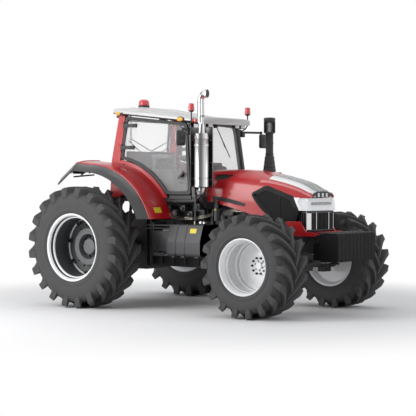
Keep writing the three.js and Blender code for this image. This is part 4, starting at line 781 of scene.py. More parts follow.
def hoodSolid(grow):
    # Sections through five points a side, curved between them and along the length, grown by a distance
    rows = smoothLine(hood["stations"], 8)
    share, top, y1, z1, y2, z2, y3, z3 = rows.T
    top = top + grow
    zero = np.zeros_like(top)
    half = np.stack([
        np.stack([y3 + grow, z3 - 0.02], 1), np.stack([y2 + grow, z2],
                                                      1), np.stack([y1 + grow, z1 + 0.6 * grow], 1),
        np.stack([0.58 * y1, top - 0.13 * (top - z1)], 1), np.stack([zero, top], 1)], 1)
    sections = np.array([smoothLine(row, 6) for row in half])
    x = hood["rear"] + share * hood["length"]
    x[0] -= 0.03 if grow < 0 else 0
    x[-1] += 1.2 * min(grow, 0)
    middle = np.array([0, 1.6])
    sections[-1] = middle + (sections[-1] - middle) * 0.965      # the nose's edge is rounded back
    x[-1], x[-2] = x[-1], x[-1] - 0.02
    right = np.stack([np.repeat(x[:, None], sections.shape[1], 1), -sections[..., 0], sections[..., 1]], -1)
    left = right[:, -2::-1] * [1, -1, 1]
    return grid(np.concatenate([right, left], 1), wrapColumns=True, caps=True)


def fromNose(outline):
    return [(hoodNose + dx, z) for dx, z in outline]


def sidePrism(outline, side):
    prism = extruded(outline, 0.2, hood["half"])
    return prism if side > 0 else prism.mirrored()


hoodLayers = {}


def hoodLayer(level):
    # The hood grown by a level, made once
    if level not in hoodLayers:
        hoodLayers[level] = hoodSolid(level)
    return hoodLayers[level]


def hoodCut(tool, out, inner):
    # What lies inside the tool, under one level of the hood and over another
    return combined(combined(hoodLayer(out), tool, "INTERSECT"), hoodLayer(inner), "DIFFERENCE")


def hoodPlate(outline, side, out, depth):
    # A plate that follows the hood's side, from `out` above its surface to `depth` below that
    return hoodCut(sidePrism(outline, side), out, out - depth)


def hoodTop(x0, x1, rear, front, out, depth, side=1):
    # The same on the hood's top, between two lines: pairs of y at the rear and at the front
    outline = [(x0, side * rear[0]), (x1, side * front[0]), (x1, side * front[1]), (x0, side * rear[1])]
    return hoodCut(extruded(outline, hood["topFrom"], 2.3, "z"), out, out - depth)


def makeHood():
    shell = combined(hoodSolid(0.0), hoodSolid(-hood["wall"]), "DIFFERENCE")
    for outline in (hood["lamp"], hood["nose"]):
        shell = combined(shell, extruded(fromNose(outline), -hood["half"], hood["half"]), "DIFFERENCE")
    slot = rounded(fromNose(hood["upperSlot"]), 0.02)
    louvre = rounded(fromNose(hood["louvre"]), 0.02)
    grille = hood["grille"][:5] + [(-0.63, 1.3), (-0.15, 1.3), (-0.14, 1.507), (-0.25, 1.711)]
    grille = rounded(fromNose(grille), 0.05)
    dark, silver, ridges = [], [], []
    for _, side in sides:
        for outline in (slot, louvre, grille):
            shell = combined(shell, sidePrism(outline, side), "DIFFERENCE")
        dark += [hoodPlate(slot, side, -0.012, 0.01), hoodPlate(louvre, side, -0.012, 0.01)]
        for drop in hood["louvreRibs"]:
            rib = [(x, z - drop) for x, z in fromNose(hood["louvre"][:3])]
            rib = hoodPlate(rib + [(x, z - 0.009) for x, z in rib[::-1]], side, -0.002, 0.016)
            dark.append(combined(rib, sidePrism(inset(louvre, 0.002), side), "INTERSECT"))
        x = hood["seamX"]
        seam = [(x, 1.69), (x + 0.005, 1.69), (x + 0.03, 1.965), (x + 0.025, 1.965)]
        dark.append(hoodPlate(seam, side, 0.0006, 0.004))
    # Vent panel on the top: silver outside, then black and silver stripes, between two red ridges
    x0, x1 = hood["ventFrom"], hood["ventTo"]
    for _, side in sides:
        silver.append(hoodTop(x0, x1, *hood["border"], 0.004, 0.012, side))
        ridges.append(hoodTop(x0 - 0.12, hoodNose, *hood["ridge"], 0.02, 0.04, side))
        for stripe in hood["stripes"]:
            silver.append(hoodTop(x0 + 0.03, x1, *stripe, 0.0042, 0.012, side))
    dark.append(hoodTop(x0 + 0.02, x1, (-0.188, 0.188), (-0.148, 0.148), 0.003, 0.012))
    dark.append(hoodTop(x1 - 0.002, hoodNose - 0.009, (-0.272, 0.272), (-0.268, 0.268), 0.003, 0.04))
    front = block((hoodNose - 0.03, -0.262, 1.69), (hoodNose + 0.05, 0.262, 1.9))
    shell = combined(shell, front, "DIFFERENCE")
    for y in np.linspace(-hood["slatReach"], hood["slatReach"], hood["slats"]):
        height = 1.757 - 0.9 * max(0.0, abs(y) - 0.16)
        silver.append(block((hoodNose - 0.03, y - 0.023, 1.7), (hoodNose - 0.0005, y + 0.023, height)))
    parts = [shell] + ridges + [part.finish(1) for part in dark] + [part.finish(2) for part in silver]
    piece("hood_finished", joined(parts), "hood", [redPaint, blackPlastic, silverTrim],
          replaces=["hood"], angle=40)


def makeGrille(name, side):
    outline = rounded(inset(fromNose(hood["grille"]), 0.003), 0.045)
    middle, panel = inset(outline, 0.034), inset(outline, 0.06)
    border = combined(hoodPlate(outline, side, 0.004, 0.022), sidePrism(middle, side), "DIFFERENCE")
    second = combined(hoodPlate(inset(outline, 0.04), side, -0.001, 0.018), sidePrism(panel, side),
                      "DIFFERENCE")
    mesh = hoodPlate(inset(outline, 0.03), side, -0.012, 0.008).finish(1)
    x = hoodNose - 0.47
    post = hoodPlate([(x, 1.4), (x + 0.008, 1.4), (x - 0.006, 1.8), (x - 0.014, 1.8)], side, -0.006,
                     0.01)
    piece(f"hood_grille_{name}_finished", joined([border, second, post, mesh]), "hood",
          [grilleEdge, grilleMesh], replaces=[f"hood_grille_{name}"], angle=40)


def makeHeadlamps():
    outline = inset(fromNose(hood["lamp"]), 0.003)

    def layer(outline, half, out, inner):
        return hoodCut(extruded(outline, -half, half), out, inner)
    parts = [
        layer(outline, hood["half"], 0.0, -0.005),
        layer(inset(outline, 0.004), hood["half"], -0.03, -0.034).finish(1),
        layer(fromNose(hood["bar"]), 0.26, -0.014, -0.022).finish(2),
        layer(fromNose(hood["lampSill"]), 0.5, -0.008, -0.022).finish(1)]
    for _, side in sides:
        parts.append(hoodPlate(fromNose(hood["lampEdge"]), side, 0.003, 0.011).finish(1))
        for dx, y, z, size in hood["bulbs"]:
            x, y = hoodNose + dx, side * y
            parts.append(rod((x - 0.02, y, z), (x + 0.012, y, z), size).finish(1))
            parts.append(rod((x - 0.02, y, z), (x + 0.018, y, z), 0.6 * size).finish(3))
    for y in np.linspace(-0.22, 0.22, 9):                         # single lamps along the dark bar
        parts.append(rod((hoodNose - 0.03, y, 1.608), (hoodNose - 0.012, y, 1.608), 0.012, 12).finish(3))
    piece("headlamps_finished", joined(parts), "hood", [lampGlass, lampBowl, blackPlastic, whiteLens],
          replaces=["headlamps"], angle=40)


def makeNose():
    # A frame with upright bars, following the plan of the nose
    low, high = boxOf("front_grille")
    nose, half = high[0], high[1]
    plan = np.array([(nose - 0.195, -half), (nose - 0.052, -half + 0.004), (nose - 0.004, -half + 0.045),
                     (nose - 0.004, half - 0.045), (nose - 0.052, half - 0.004), (nose - 0.195, half)])

    def band(out, depth, z0, z1):
        outer = plan + [out, 0]
        scale = np.array([1, (half + out) / half])
        back = inset(np.vstack([plan, [(nose - 0.3, half), (nose - 0.3, -half)]]), depth)[:6] + [out, 0]
        return extruded(np.vstack([outer * scale, (back * scale)[::-1]]), z0, z1, "z")
    z0, z1 = low[2], high[2]
    parts = [band(-0.02, 0.01, z0, z1), band(0.002, 0.02, z0, z0 + 0.022), band(0.002, 0.02, z1 - 0.03, z1)]
    for y in np.linspace(-half + 0.06, half - 0.06, 17):
        parts.append(block((nose - 0.03, y - 0.005, z0 + 0.02), (nose - 0.001, y + 0.005, z1 - 0.025)))
    for _, side in sides:
        y = side * (half - 0.008)
        for x in np.linspace(nose - 0.175, nose - 0.075, 4):
            parts.append(block((x - 0.006, y - 0.01, z0 + 0.02), (x + 0.006, y + 0.01, z1 - 0.025)))
        post = [(nose - 0.058, side * (half + 0.002)), (nose - 0.004, side * (half - 0.042)),
                (nose - 0.012, side * (half - 0.06)), (nose - 0.07, side * (half - 0.016))]
        parts.append(extruded(post, z0 + 0.004, z1 - 0.003, "z").finish(1))
        inner = block((nose - 0.006, side * 0.165 - 0.007, z0 + 0.02),
                      (nose, side * 0.165 + 0.007, z1 - 0.02))
        parts.append(inner.finish(1))
    piece("front_grille_finished", joined(parts), "hood", [blackPlastic, chrome],
          bevel=0.0015, replaces=["front_grille"])


makeHood()
for sideName, sideSign in sides:
    makeGrille(sideName, sideSign)
makeHeadlamps()
makeNose()
print("hood made")


# ---- cab and fenders ----

cab = {
    "base": 0.906, "perX": -0.066, "perZ": -0.0709,      # side plane: y = base + perX x + perZ z
    "roofRear": 2.985, "roofFall": 0.1125,               # underside of the roof
    "doorRearTop": 0.262, "doorRear": 0.205, "doorArc": 1.362, "doorTurn": 2.271,
    "doorFrontTop": 1.44, "doorFront": 1.57, "sill": 1.724,
}
fender = {
    "crown": 1.3, "wall": 0.026, "lowZ": boxOf("fender_left")[0][2], "from": 16,
    "corner": -0.3, "rise": 0.036, "tailSlope": 36, "tailLength": 0.52,
    "trim": [(-0.476, 2.3), (-0.56, 1.885)], "wallReach": 1.354, "wallFoot": (0.03, 1.68),
    # (y, distance from the axle) of the outer faces
    "profile": [(0.705, 1.3), (0.85, 1.301), (1.0, 1.296), (1.08, 1.29), (1.14, 1.279),
                (1.18, 1.267), (1.2, 1.258)],
    "strip": [(1.2005, 1.258), (1.24, 1.243), (1.285, 1.213), (1.322, 1.178), (1.343, 1.15), (1.337, 1.142),
              (1.318, 1.141), (1.29, 1.168), (1.245, 1.205), (1.2005, 1.232)],
    "bead": [(1.176, 1.272), (1.186, 1.2735), (1.197, 1.268), (1.1985, 1.259), (1.19, 1.256)],
    # stays and brackets as (start, end, radius), and posts from the axle as (points, radius)
    "stays": [
        ((-0.02, 1.18, 2.12), (-0.36, 1.02, 2.03), 0.011), ((-0.02, 0.8, 2.2), (-0.4, 0.8, 2.06), 0.011),
        ((-0.33, 0.76, 2.03), (-0.33, 1.22, 2.0), 0.012), ((0.44, 0.62, 1.7), (0.44, 1.0, 1.7), 0.018),
        ((0.8, 0.78, 1.56), (0.8, 1.06, 1.56), 0.018)],
    "posts": [
        ([(0.22, 0.8, 1.04), (0.42, 0.78, 1.35), (0.45, 0.78, 1.75), (0.3, 0.78, 2.19)], 0.024),
        ([(0.25, 0.93, 1.06), (0.62, 0.98, 1.3), (0.8, 1.0, 1.62), (0.85, 1.0, 1.9)], 0.02)],
}


def sideY(x, z):
    return cab["base"] + cab["perX"] * x + cab["perZ"] * z


def leaned(shape, side):
    # A piece drawn about y = 0 is laid in the cab's side plane, outside it where y is positive
    x, y, z = shape.points.T
    points = np.stack([x, side * (sideY(x, z) + y), z], 1)
    return Shape(points, shape.faces if side > 0 else [face[::-1] for face in shape.faces], shape.finishes)


def arc(x, z, radius, start, end, steps=12):
    angle = np.radians(np.linspace(start, end, steps + 1))
    return np.stack([x + radius * np.cos(angle), z + radius * np.sin(angle)], 1)


def fenderPath():
    # Rows of x, z and the direction of the normal: round the wheel, level, then down the tail
    axleZ, crown = rearWheel["radius"], fender["crown"]
    angle = np.arange(fender["from"], 90.1, 3.7)
    wheel = np.column_stack([arc(0, axleZ, crown, angle[0], angle[-1], len(angle) - 1), angle])
    cornerZ = axleZ + crown + fender["rise"]
    level = smoothLine([(0, axleZ + crown), (0.6 * fender["corner"], cornerZ - 0.5 * fender["rise"]),
                        (fender["corner"], cornerZ)], 4)[1:-2]
    level = np.column_stack([level, np.full(len(level), 90.0)])
    slope = fender["tailSlope"]
    down = np.array([-math.cos(math.radians(slope)), -math.sin(math.radians(slope))])
    corner = np.array([fender["corner"], cornerZ])
    bend = [np.append(corner + [0.05 * (1 - t) ** 2, 0] + down * 0.05 * t ** 2, 90 + slope * t)
            for t in np.linspace(0, 1, 7)]
    tail = np.append(corner + down * fender["tailLength"], 90 + slope)
    return np.vstack([wheel, level, bend, tail])


def fenderSkin(section, side):
    # The section is carried along the path: a point lies (distance - crown) out along the normal
    path, section = fenderPath(), np.asarray(section, float)
    out = (section[:, 1] - fender["crown"])[None, :]
    normal = np.radians(path[:, 2])[:, None]
    across = np.repeat(side * section[None, :, 0], len(path), 0)
    points = np.stack([path[:, :1] + out * np.cos(normal), across, path[:, 1:2] + out * np.sin(normal)], -1)
    (x0, z0), (x1, z1) = fender["trim"]
    low, reach = fender["lowZ"], fender["crown"] + 0.2
    trim = extruded([(reach, low), (reach, 3.1), (x0, 3.1), (x0, z0), (x1, z1), (x1, low)], 0.5, 1.45)
    return combined(grid(points, wrapColumns=True, caps=True), trim if side > 0 else trim.mirrored(),
                    "INTERSECT")


def makeFender(name, side):
    axleZ, reach, (footX, footZ) = rearWheel["radius"], fender["wallReach"], fender["wallFoot"]
    outer = smoothLine(fender["profile"], 3)
    inner = (outer - [0, fender["wall"]])[::-1]
    skin = fenderSkin(np.vstack([outer, inner]), side)
    # the wall between the fender and the cab stops at the door's lower edge, an arc about the axle
    top = cab["doorRear"] + 0.004
    head = axleZ + reach * math.sin(math.acos(cab["doorRear"] / cab["doorArc"])) - 0.02
    start = math.degrees(math.asin((cab["sill"] - axleZ) / cab["doorArc"]))
    edge = arc(0, axleZ, reach, start, math.degrees(math.acos(top / reach)), 14)
    wall = [(footX, footZ), (math.sqrt(reach ** 2 - (footZ - axleZ) ** 2), footZ), *edge, (top - 0.006, head),
            (footX, head)]
    wall = leaned(extruded(wall, -0.036, 0.0), side)
    # a rolled bead along the edge beside the strip, and a blank label low at the front
    bead = fenderSkin(fender["bead"], side)
    angle = np.radians(np.linspace(24.2, 28.1, 4))[:, None]
    y = np.linspace(0.9, 1.06, 4)[None, :]
    radius = 1.3015 - 0.004 * np.clip((y - 0.85) / 0.15, 0, None)
    label = [radius * np.cos(angle), side * (y + 0 * angle), axleZ + radius * np.sin(angle)]
    label = Shape(np.stack(label, -1), gridFaces(4, 4).tolist(), 1)
    under = Shape(label.points - [0.004, 0, 0.002], [face[::-1] for face in label.faces], 1)
    piece(f"fender_{name}_finished", joined([skin, wall, bead, label, under]), "root",
          [redPaint, yellowLabel],
          bevel=0.004, replaces=[f"fender_{name}"])
    piece(f"fender_strip_{name}_finished", fenderSkin(fender["strip"], side), "root", stripRubber,
          replaces=[f"fender_strip_{name}"])
    stays = [rod(*sided(side, (start, end)), radius) for start, end, radius in fender["stays"]]
    stays += [pathTube(sided(side, path), radius, 12) for path, radius in fender["posts"]]
    piece(f"fender_{name}_brackets", joined(stays), "root", blackPaint)


# ---- roof ----

roof = {
    # x, half width, height of the edge and of the crown over the underside, fall of the crown to the side
    "stations": [
        (0.02, 0.69, 0.034, 0.06, 0.1), (0.045, 0.725, 0.062, 0.092, 0.1),
        (0.15, 0.765, 0.094, 0.135, 0.25),
        (0.5, 0.76, 0.084, 0.146, 0.4), (0.9, 0.745, 0.072, 0.118, 0.35),
        (1.2, 0.728, 0.067, 0.094, 0.22),
        (1.43, 0.712, 0.074, 0.092, 0.08), (1.6, 0.69, 0.086, 0.104, 0.05),
        (1.668, 0.672, 0.092, 0.106, 0.05),
        (1.69, 0.655, 0.078, 0.094, 0.05)],
    "ribs": (-0.42, -0.22, 0.22, 0.42), "gutter": 0.025,
}


def roofZ(x):
    return cab["roofRear"] - cab["roofFall"] * x


def makeRoof():
    rows = smoothLine(roof["stations"], 5)
    rows[:, 0] = np.clip(rows[:, 0], 0.02, 1.69)
    sections = []
    for x, half, edge, crown, fall in rows:
        base = roofZ(x)
        inner = sideY(x, base) - 0.046
        eaves = base + 0.1 * abs(half - inner)
        rise = crown * (1 - fall) - edge
        side = [(half - 0.012, eaves), (half - 0.002, eaves + 0.01), (half, base + 0.034),
                (half - 0.004, base + 0.86 * edge), (half - 0.022, base + edge + 0.1 * rise),
                (half - 0.07, base + edge + 0.45 * rise), (half - 0.14, base + crown * (1 - fall))]
        top = [(f * (half - 0.14), base + crown * (1 - fall * f * f)) for f in (0.75, 0.5, 0.25, 0)]
        points = [(x, y, z) for y, z in [(inner, base)] + side + top]
        points += [(x, -y, z) for y, z in (top[-2::-1] + side[::-1] + [(inner, base)])]
        sections.append(points)
    shell = grid(np.array(sections), wrapColumns=True, caps=True)
    # the gutter round the underside is black
    height = shell.points[:, 2] - roofZ(shell.points[:, 0])
    shell.finishes = [1 if max(height[face]) < roof["gutter"] else 0 for face in shell.faces]
    # ribs pressed in the top, and the ears that the rear window hangs on
    parts = [shell]
    for y in roof["ribs"]:
        line = [(x, y, roofZ(x) + crown * (1 - fall * (y / (half - 0.14)) ** 2) - 0.004)
                for x, half, edge, crown, fall in roof["stations"][2:7]]
        parts.append(pathTube(line, 0.014))
    z = roofZ(0.17)
    for _, side in sides:
        parts.append(block((0.155, side * 0.456 - 0.008, z - 0.05), (0.185, side * 0.456 + 0.008, z + 0.02)))
    piece("cab_roof_finished", joined(parts), "root", [roofPaint, blackPlastic],
          replaces=["cab_roof"], angle=50)


lamps = {
    # on each side: pairs of x, y and z, corner radius and finish; first the amber and red corner lamps with
    # their black blocks, then the work lamp at the rear and the tail lamp on the fender
    "boxes": [
        ((0.128, 0.232), (0.7, 0.782), (2.953, 3.013), 0.029, 1),
        ((0.19, 0.292), (0.7, 0.768), (2.955, 3.004), 0.014, 0),
        ((1.585, 1.672), (0.6, 0.69), (2.808, 2.868), 0.02, 2),
        ((1.575, 1.62), (0.585, 0.68), (2.806, 2.868), 0.01, 0),
        ((-0.01, 0.05), (0.45, 0.59), (2.925, 2.995), 0.014, 0),
        ((-0.016, 0.004), (0.462, 0.578), (2.935, 2.985), 0.006, 3),
        ((-0.47, -0.425), (0.9, 1.1), (2.055, 2.125), 0.016, 2),
        ((-0.462, -0.405), (0.888, 1.112), (2.045, 2.135), 0.012, 0)],
    # work lamps under the visor as (x, y)
    "visor": [(1.635, 0.5), (1.645, 0.34)],
    # round amber side lamp, drawn as (radius, out), widened along the cab and flattened in height
    "side": (1.384, 0.712, 2.862), "stretch": (1.5, 0.78),
    "frame": [(0, -0.012), (0.05, -0.012), (0.052, 0.0), (0.044, 0.008), (0, 0.008)],
    "lens": [(0, -0.01), (0.04, -0.01), (0.04, 0.01), (0.03, 0.019), (0.012, 0.024), (0, 0.025)],
    # round red beacon on the roof
    "beaconX": 0.06, "foot": [(0, 3.076), (0.088, 3.076), (0.092, 3.14), (0.084, 3.148), (0, 3.148)],
    "dome": [(0, 3.147), (0.084, 3.147), (0.088, 3.161), (0.083, 3.203), (0.072, 3.225), (0.044, 3.241),
             (0, 3.245)],
}


def makeLamps():
    parts = []
    x, y, z = lamps["side"]
    along, tall = lamps["stretch"]
    for _, side in sides:
        for profile, number in ((lamps["frame"], 0), (lamps["lens"], 1)):
            lamp = turnedShape(profile, (0, 0, 0), "y", 28)
            lamp = Shape(lamp.points * [along, 1, tall] + [x, y, z], lamp.faces, number)
            parts.append(lamp if side > 0 else lamp.mirrored())
        for *ranges, radius, number in lamps["boxes"]:
            parts.append(sideBox(side, *ranges, radius).finish(number))
        for lx, ly in lamps["visor"]:
            lz = roofZ(lx)
            parts.append(sideBox(side, (lx - 0.03, lx + 0.03), (ly - 0.06, ly + 0.06),
                                 (lz - 0.055, lz + 0.01), 0.012))
            glass = sideBox(side, (lx + 0.018, lx + 0.034), (ly - 0.05, ly + 0.05), (lz - 0.047, lz - 0.002),
                            0.006)
            parts.append(glass.finish(3))
    for profile, number in ((lamps["foot"], 0), (lamps["dome"], 2)):
        parts.append(turnedShape(profile, (lamps["beaconX"], 0, 0), "z", 40).finish(number))
    piece("lamps_on_cab", joined(parts), "root", [blackPlastic, amberLens, redLens, whiteLens],
          angle=40)


# ---- doors, glass and inside ----

def doorEdge(z):
    share = (z - cab["doorTurn"]) / (roofZ(cab["doorRearTop"]) - cab["doorTurn"])
    return cab["doorRear"] + share * (cab["doorRearTop"] - cab["doorRear"])


door = {
    # seal and lip as (inset, corner radius) outside and inside, then how deep the outer and the inner cut go
    "seal": [(0.006, 0.05, -0.034, 0.004), (0.046, 0.06, -0.06, 0.03)],
    "lip": [(0.036, 0.055, -0.02, 0.007), (0.052, 0.06, -0.06, 0.03)],
    "hinges": (2.452, 2.792),
    # hinge arm and its pad on the glass as (x from the edge, z), corner radius, depths
    "arm": ([(-0.006, -0.036), (0.2, -0.02), (0.2, 0.02), (-0.006, 0.036)], 0.01, 0.004, 0.03),
    "pad": ([(0.16, -0.03), (0.24, -0.03), (0.24, 0.03), (0.16, 0.03)], 0.008, -0.016, 0.022),
    "handle": [(1.335, 1.982), (1.358, 1.962), (1.452, 2.062), (1.43, 2.084)],
    "handleFoot": [(1.36, 1.99), (1.4, 1.99), (1.43, 2.05), (1.39, 2.05)],
    # closing bars as x from the edge, low and high
    "bars": [(0.075, 0.095), (0.125, 0.145)], "barLow": 2.45, "barHigh": 2.77,
}


def makeDoor(name, side):
    # Rubber seal round the pane, hinge arms reaching on to the glass, closing bars and a handle
    def plate(outline, radius, inner, outer):
        return leaned(extruded(rounded(outline, radius), inner, outer), side)

    arcAngle = [math.degrees(math.asin((cab["sill"] - rearWheel["radius"]) / cab["doorArc"])),
                math.degrees(math.acos(cab["doorRear"] / cab["doorArc"]))]
    outline = [(x, roofZ(x) - 0.008) for x in (cab["doorRearTop"], cab["doorFrontTop"])]
    outline += [(cab["doorFront"], cab["sill"]), *arc(0, rearWheel["radius"], cab["doorArc"], *arcAngle, 10)]
    parts = []
    for rim in (door["seal"], door["lip"]):
        whole, hole = [plate(inset(outline, cut), radius, low, high) for cut, radius, low, high in rim]
        parts.append(combined(whole, hole, "DIFFERENCE"))
    for z in door["hinges"]:
        for corners, *sizes in (door["arm"], door["pad"]):
            parts.append(plate([(doorEdge(z) + dx, z + dz) for dx, dz in corners], *sizes))
    parts += [plate(door["handle"], 0.01, 0.02, 0.044), plate(door["handleFoot"], 0.01, -0.02, 0.024)]
    piece(f"door_frame_{name}_finished", joined(parts), f"door_{name}", blackPlastic,
          bevel=0.003,
          replaces=[f"door_frame_{name}"])
    bars = []
    for low, high in door["bars"]:
        ends = [(doorEdge(z) + dx, z) for dx, z in ((low, door["barLow"]), (high, door["barHigh"]))]
        bars.append(rod(*[(x, side * (sideY(x, z) + 0.018), z) for x, z in ends], 0.0045, 10))
    piece(f"door_{name}_closing_bars", joined(bars), f"door_{name}", stainless)
    refined(f"door_glass_{name}", clearGlass, 0.0015)


def makeWiper():
    # Arm and blade on the windscreen, from a motor under the roof
    low, high = boxOf("windscreen")

    def onScreen(y, z, out=0.012):
        share = (z - low[2]) / (high[2] - low[2])
        return np.array([high[0] + (low[0] + 0.006 - high[0]) * share + out, y, z])
    parts = [
        rod(onScreen(0.0, 2.775, 0.0), onScreen(0.0, 2.775, 0.05), 0.026),
        pathTube([onScreen(0, 2.775, 0.035), onScreen(0.1, 2.62, 0.03), onScreen(0.2, 2.46, 0.014)], 0.006,
                 8),
        pathTube([onScreen(0.1, 2.66), onScreen(0.31, 2.3)], 0.007, 8, smooth=False),
        rod(onScreen(0.198, 2.47, 0.006), onScreen(0.204, 2.46, 0.024), 0.01)]
    piece("front_wiper", joined(parts), "root", blackPlastic)


cabRear = {
    "handleY": 0.18, "handleZ": 0.075, "wall": ((0.2, -0.6, 1.7), (0.235, 0.6, 2.4)), "stayX": 0.21,
    # stays over the wall as (y, z) at both ends and the radius
    "stays": [(0.49, 2.52, 0.49, 2.93, 0.008), (0.47, 2.59, 0, 2.41, 0.0075),
              (0.56, 2.57, 0.26, 2.395, 0.0075)],
}


def makeRearWindow():
    # A handle that rides with the window, drawn on the pane
    low, high = boxOf("rear_window_frame")
    y, z = cabRear["handleY"], low[2] + cabRear["handleZ"]

    def onPane(y, out):
        share = (z - low[2]) / (high[2] - low[2])
        return np.array([low[0] + share * (high[0] - low[0]) * 0.92 + out, y, z])
    parts = [rod(onPane(side * y, -0.012), onPane(side * y, 0.05), 0.008, 12) for _, side in sides]
    parts.append(rod(onPane(-y, 0.052), onPane(y, 0.052), 0.011, 12))
    piece("rear_window_handle", joined(parts), "rear_window", blackPlastic)
    # A trim wall behind the seat, and over it two upright stays joined by a shallow V
    parts = [roundedBox(*cabRear["wall"], 0.015, 3)]
    x = cabRear["stayX"]
    for _, side in sides:
        for y0, z0, y1, z1, radius in cabRear["stays"]:
            parts.append(rod((x, side * y0, z0), (x, side * y1, z1), radius, 10))
    piece("cab_rear_trim", joined(parts), "root", greyPlastic)


seat = {
    "crown": 0.03, "thick": 0.13, "pull": 0.035, "channels": (-0.42, 0.42), "fill": 0.75,
    # armrests and their posts as pairs of x, y and z, and the corner radius
    "arms": [((0.52, 0.88), (0.27, 0.36), (2.285, 2.345), 0.02),
             ((0.5, 0.56), (0.28, 0.32), (2.05, 2.3), 0.012)],
}


def makeSeat():
    for node in ("seat_cushion", "seat_backrest"):
        makePad(node)
    parts = [sideBox(side, *ranges, radius) for _, side in sides for *ranges, radius in seat["arms"]]
    piece("seat_armrests", joined(parts), "root", greyPlastic)


def makePad(node):
    # A crowned cushion: every side pulls in between its corners and the faces swell with the product of
    # one less the fourth powers across and along; channels are pressed in across it
    low, high = boxOf(node)
    size, middle = (high - low) / 2, (high + low) / 2
    upright = size[2] > size[0]
    lean = high[0] - low[0] - seat["thick"]
    thick = seat["thick"] / 2 if upright else size[2]
    count, pull, crown = 41, seat["pull"], seat["crown"]
    u, v = np.meshgrid(np.linspace(-1, 1, count), np.linspace(-1, 1, count), indexing="ij")
    reach = np.maximum(np.abs(u), np.abs(v))
    a = u * (1 - pull * (1 - v ** 2)) * (1 - 0.06 * v ** 4)
    b = v * (1 - pull * (1 - u ** 2)) * (1 - 0.06 * u ** 4)
    swell = (1 - u ** 4) * (1 - v ** 4)
    channel = sum(np.exp(-((v - c) / 0.035) ** 2) for c in seat["channels"]) * (1 - u ** 8)
    welt = np.exp(-((reach - 0.8) / 0.03) ** 2)
    edge = np.clip((reach - 0.86) / 0.14, 0, 1) ** 2.2
    front = thick - crown + crown * swell - 0.012 * channel - 0.006 * welt - 0.6 * thick * edge
    back = -thick + 0.35 * thick * edge + (0.2 * crown * (1 - swell) if upright else 0)
    sheets = []
    for depth in (front, back):
        if upright:
            z = middle[2] + a * size[2]
            x = high[0] - seat["thick"] / 2 - lean * (z - low[2]) / (high[2] - low[2]) + depth
        else:
            x, z = middle[0] + a * size[0], middle[2] + depth
        sheets.append(np.stack([x, middle[1] + b * size[1], z], -1).reshape(-1, 3))
    last, total = count - 1, count * count
    rim = [(i, 0) for i in range(last)] + [(last, i) for i in range(last)]
    rim += [(last - i, last) for i in range(last)] + [(0, last - i) for i in range(last)]
    index = [i * count + j for i, j in rim]
    faces = gridFaces(count, count).tolist()
    faces += [[total + i for i in face[::-1]] for face in faces]
    faces += [[p, q, q + total, p + total] for p, q in zip(index, index[1:] + index[:1])]
    item = piece(node + "_padded", Shape(np.vstack(sheets), faces), "root", seatCloth,
                 replaces=[node], angle=80)
    extra = item.modifiers.new("smooth", "SUBSURF")
    extra.levels = extra.render_levels = 1


controls = {
    "hubZ": 2.33, "hubBack": 0.035, "foot": (1.225, 0, 1.71), "axis": (-0.43, 0, 0.9), "ring": 0.19,
    "plate": ((1.16, -0.09, 1.682), (1.29, 0.09, 1.742)),
    # instrument hood and side console: low corner, high corner, corner radius
    "boxes": [((1.34, -0.17, 2.15), (1.52, 0.17, 2.215), 0.02),
              ((0.5, -0.52, 1.69), (1.1, -0.36, 2.12), 0.03),
              ((1.0, -0.5, 2.1), (1.06, -0.46, 2.2), 0.02)],
    "gauge": [(0, 0), (0.036, 0), (0.038, 0.006), (0, 0.008)], "gauges": (-0.09, 0.0, 0.09),
    "levers": 4, "knob": [(0, 0), (0.012, 0.003), (0.016, 0.016), (0.012, 0.028), (0, 0.032)],
}


def makeControls():
    # Steering wheel with spokes and hub, on a column with a boot and levers
    low, high = boxOf("steering_column")
    hub = np.array([(low[0] + high[0]) / 2 - controls["hubBack"], 0, controls["hubZ"]])
    foot = np.array(controls["foot"])
    axis = np.array(controls["axis"]) / np.linalg.norm(controls["axis"])
    side, up = np.array([0, 1.0, 0]), np.cross(axis, [0, 1.0, 0])
    turn = np.linspace(0, 2 * np.pi, 65)
    ring = hub + controls["ring"] * (np.outer(np.cos(turn), side) + np.outer(np.sin(turn), up))
    parts = [
        pathTube(ring, 0.015, 12, smooth=False, caps=False), rod(foot, hub - 0.03 * axis, 0.042, 24, 0.034),
        rod(foot, foot + 0.14 * (hub - foot) / np.linalg.norm(hub - foot), 0.075, 24, 0.05),
        rod(hub - 0.02 * axis, hub + 0.012 * axis, 0.042, 24), roundedBox(*controls["plate"], 0.012)]
    parts += [pathTube([hub, hub + 0.09 * d - 0.01 * axis, hub + 0.185 * d], 0.012) for d in (side, -side,
        -up)]
    parts += [rod(hub - 0.1 * axis, hub - 0.09 * axis + s * 0.15 * side - 0.04 * up, 0.007, 10) for _,
              s in sides]
    piece("steering_column_finished", joined(parts), "root", blackPlastic,
          replaces=["steering_column"])
    # Instrument hood and gauges on the dashboard, side console with levers
    parts = [roundedBox(*box) for box in controls["boxes"]]
    parts += [turnedShape(controls["gauge"], (1.318, y, 2.105), "x",
                          24).finish(1) for y in controls["gauges"]]
    for k in range(controls["levers"]):
        x = 0.7 + 0.07 * k
        parts.append(rod((x, -0.43, 2.1), (x + 0.01, -0.43, 2.2), 0.006, 8))
        parts.append(turnedShape(controls["knob"], (x + 0.01, -0.43, 2.19), "z", 12).finish(1))
    piece("cab_console", joined(parts), "root", [blackPlastic, greyPlastic])


for sideName, sideSign in sides:
    makeFender(sideName, sideSign)
    makeDoor(sideName, sideSign)
makeRoof()
makeLamps()
makeWiper()
makeRearWindow()
makeSeat()
makeControls()
refined("windscreen", screenGlass, 0.0015)
refined("rear_window_glass", clearGlass, 0.0015)
print("cab made")


# ---- exhaust, air intake, mirrors and beacons ----

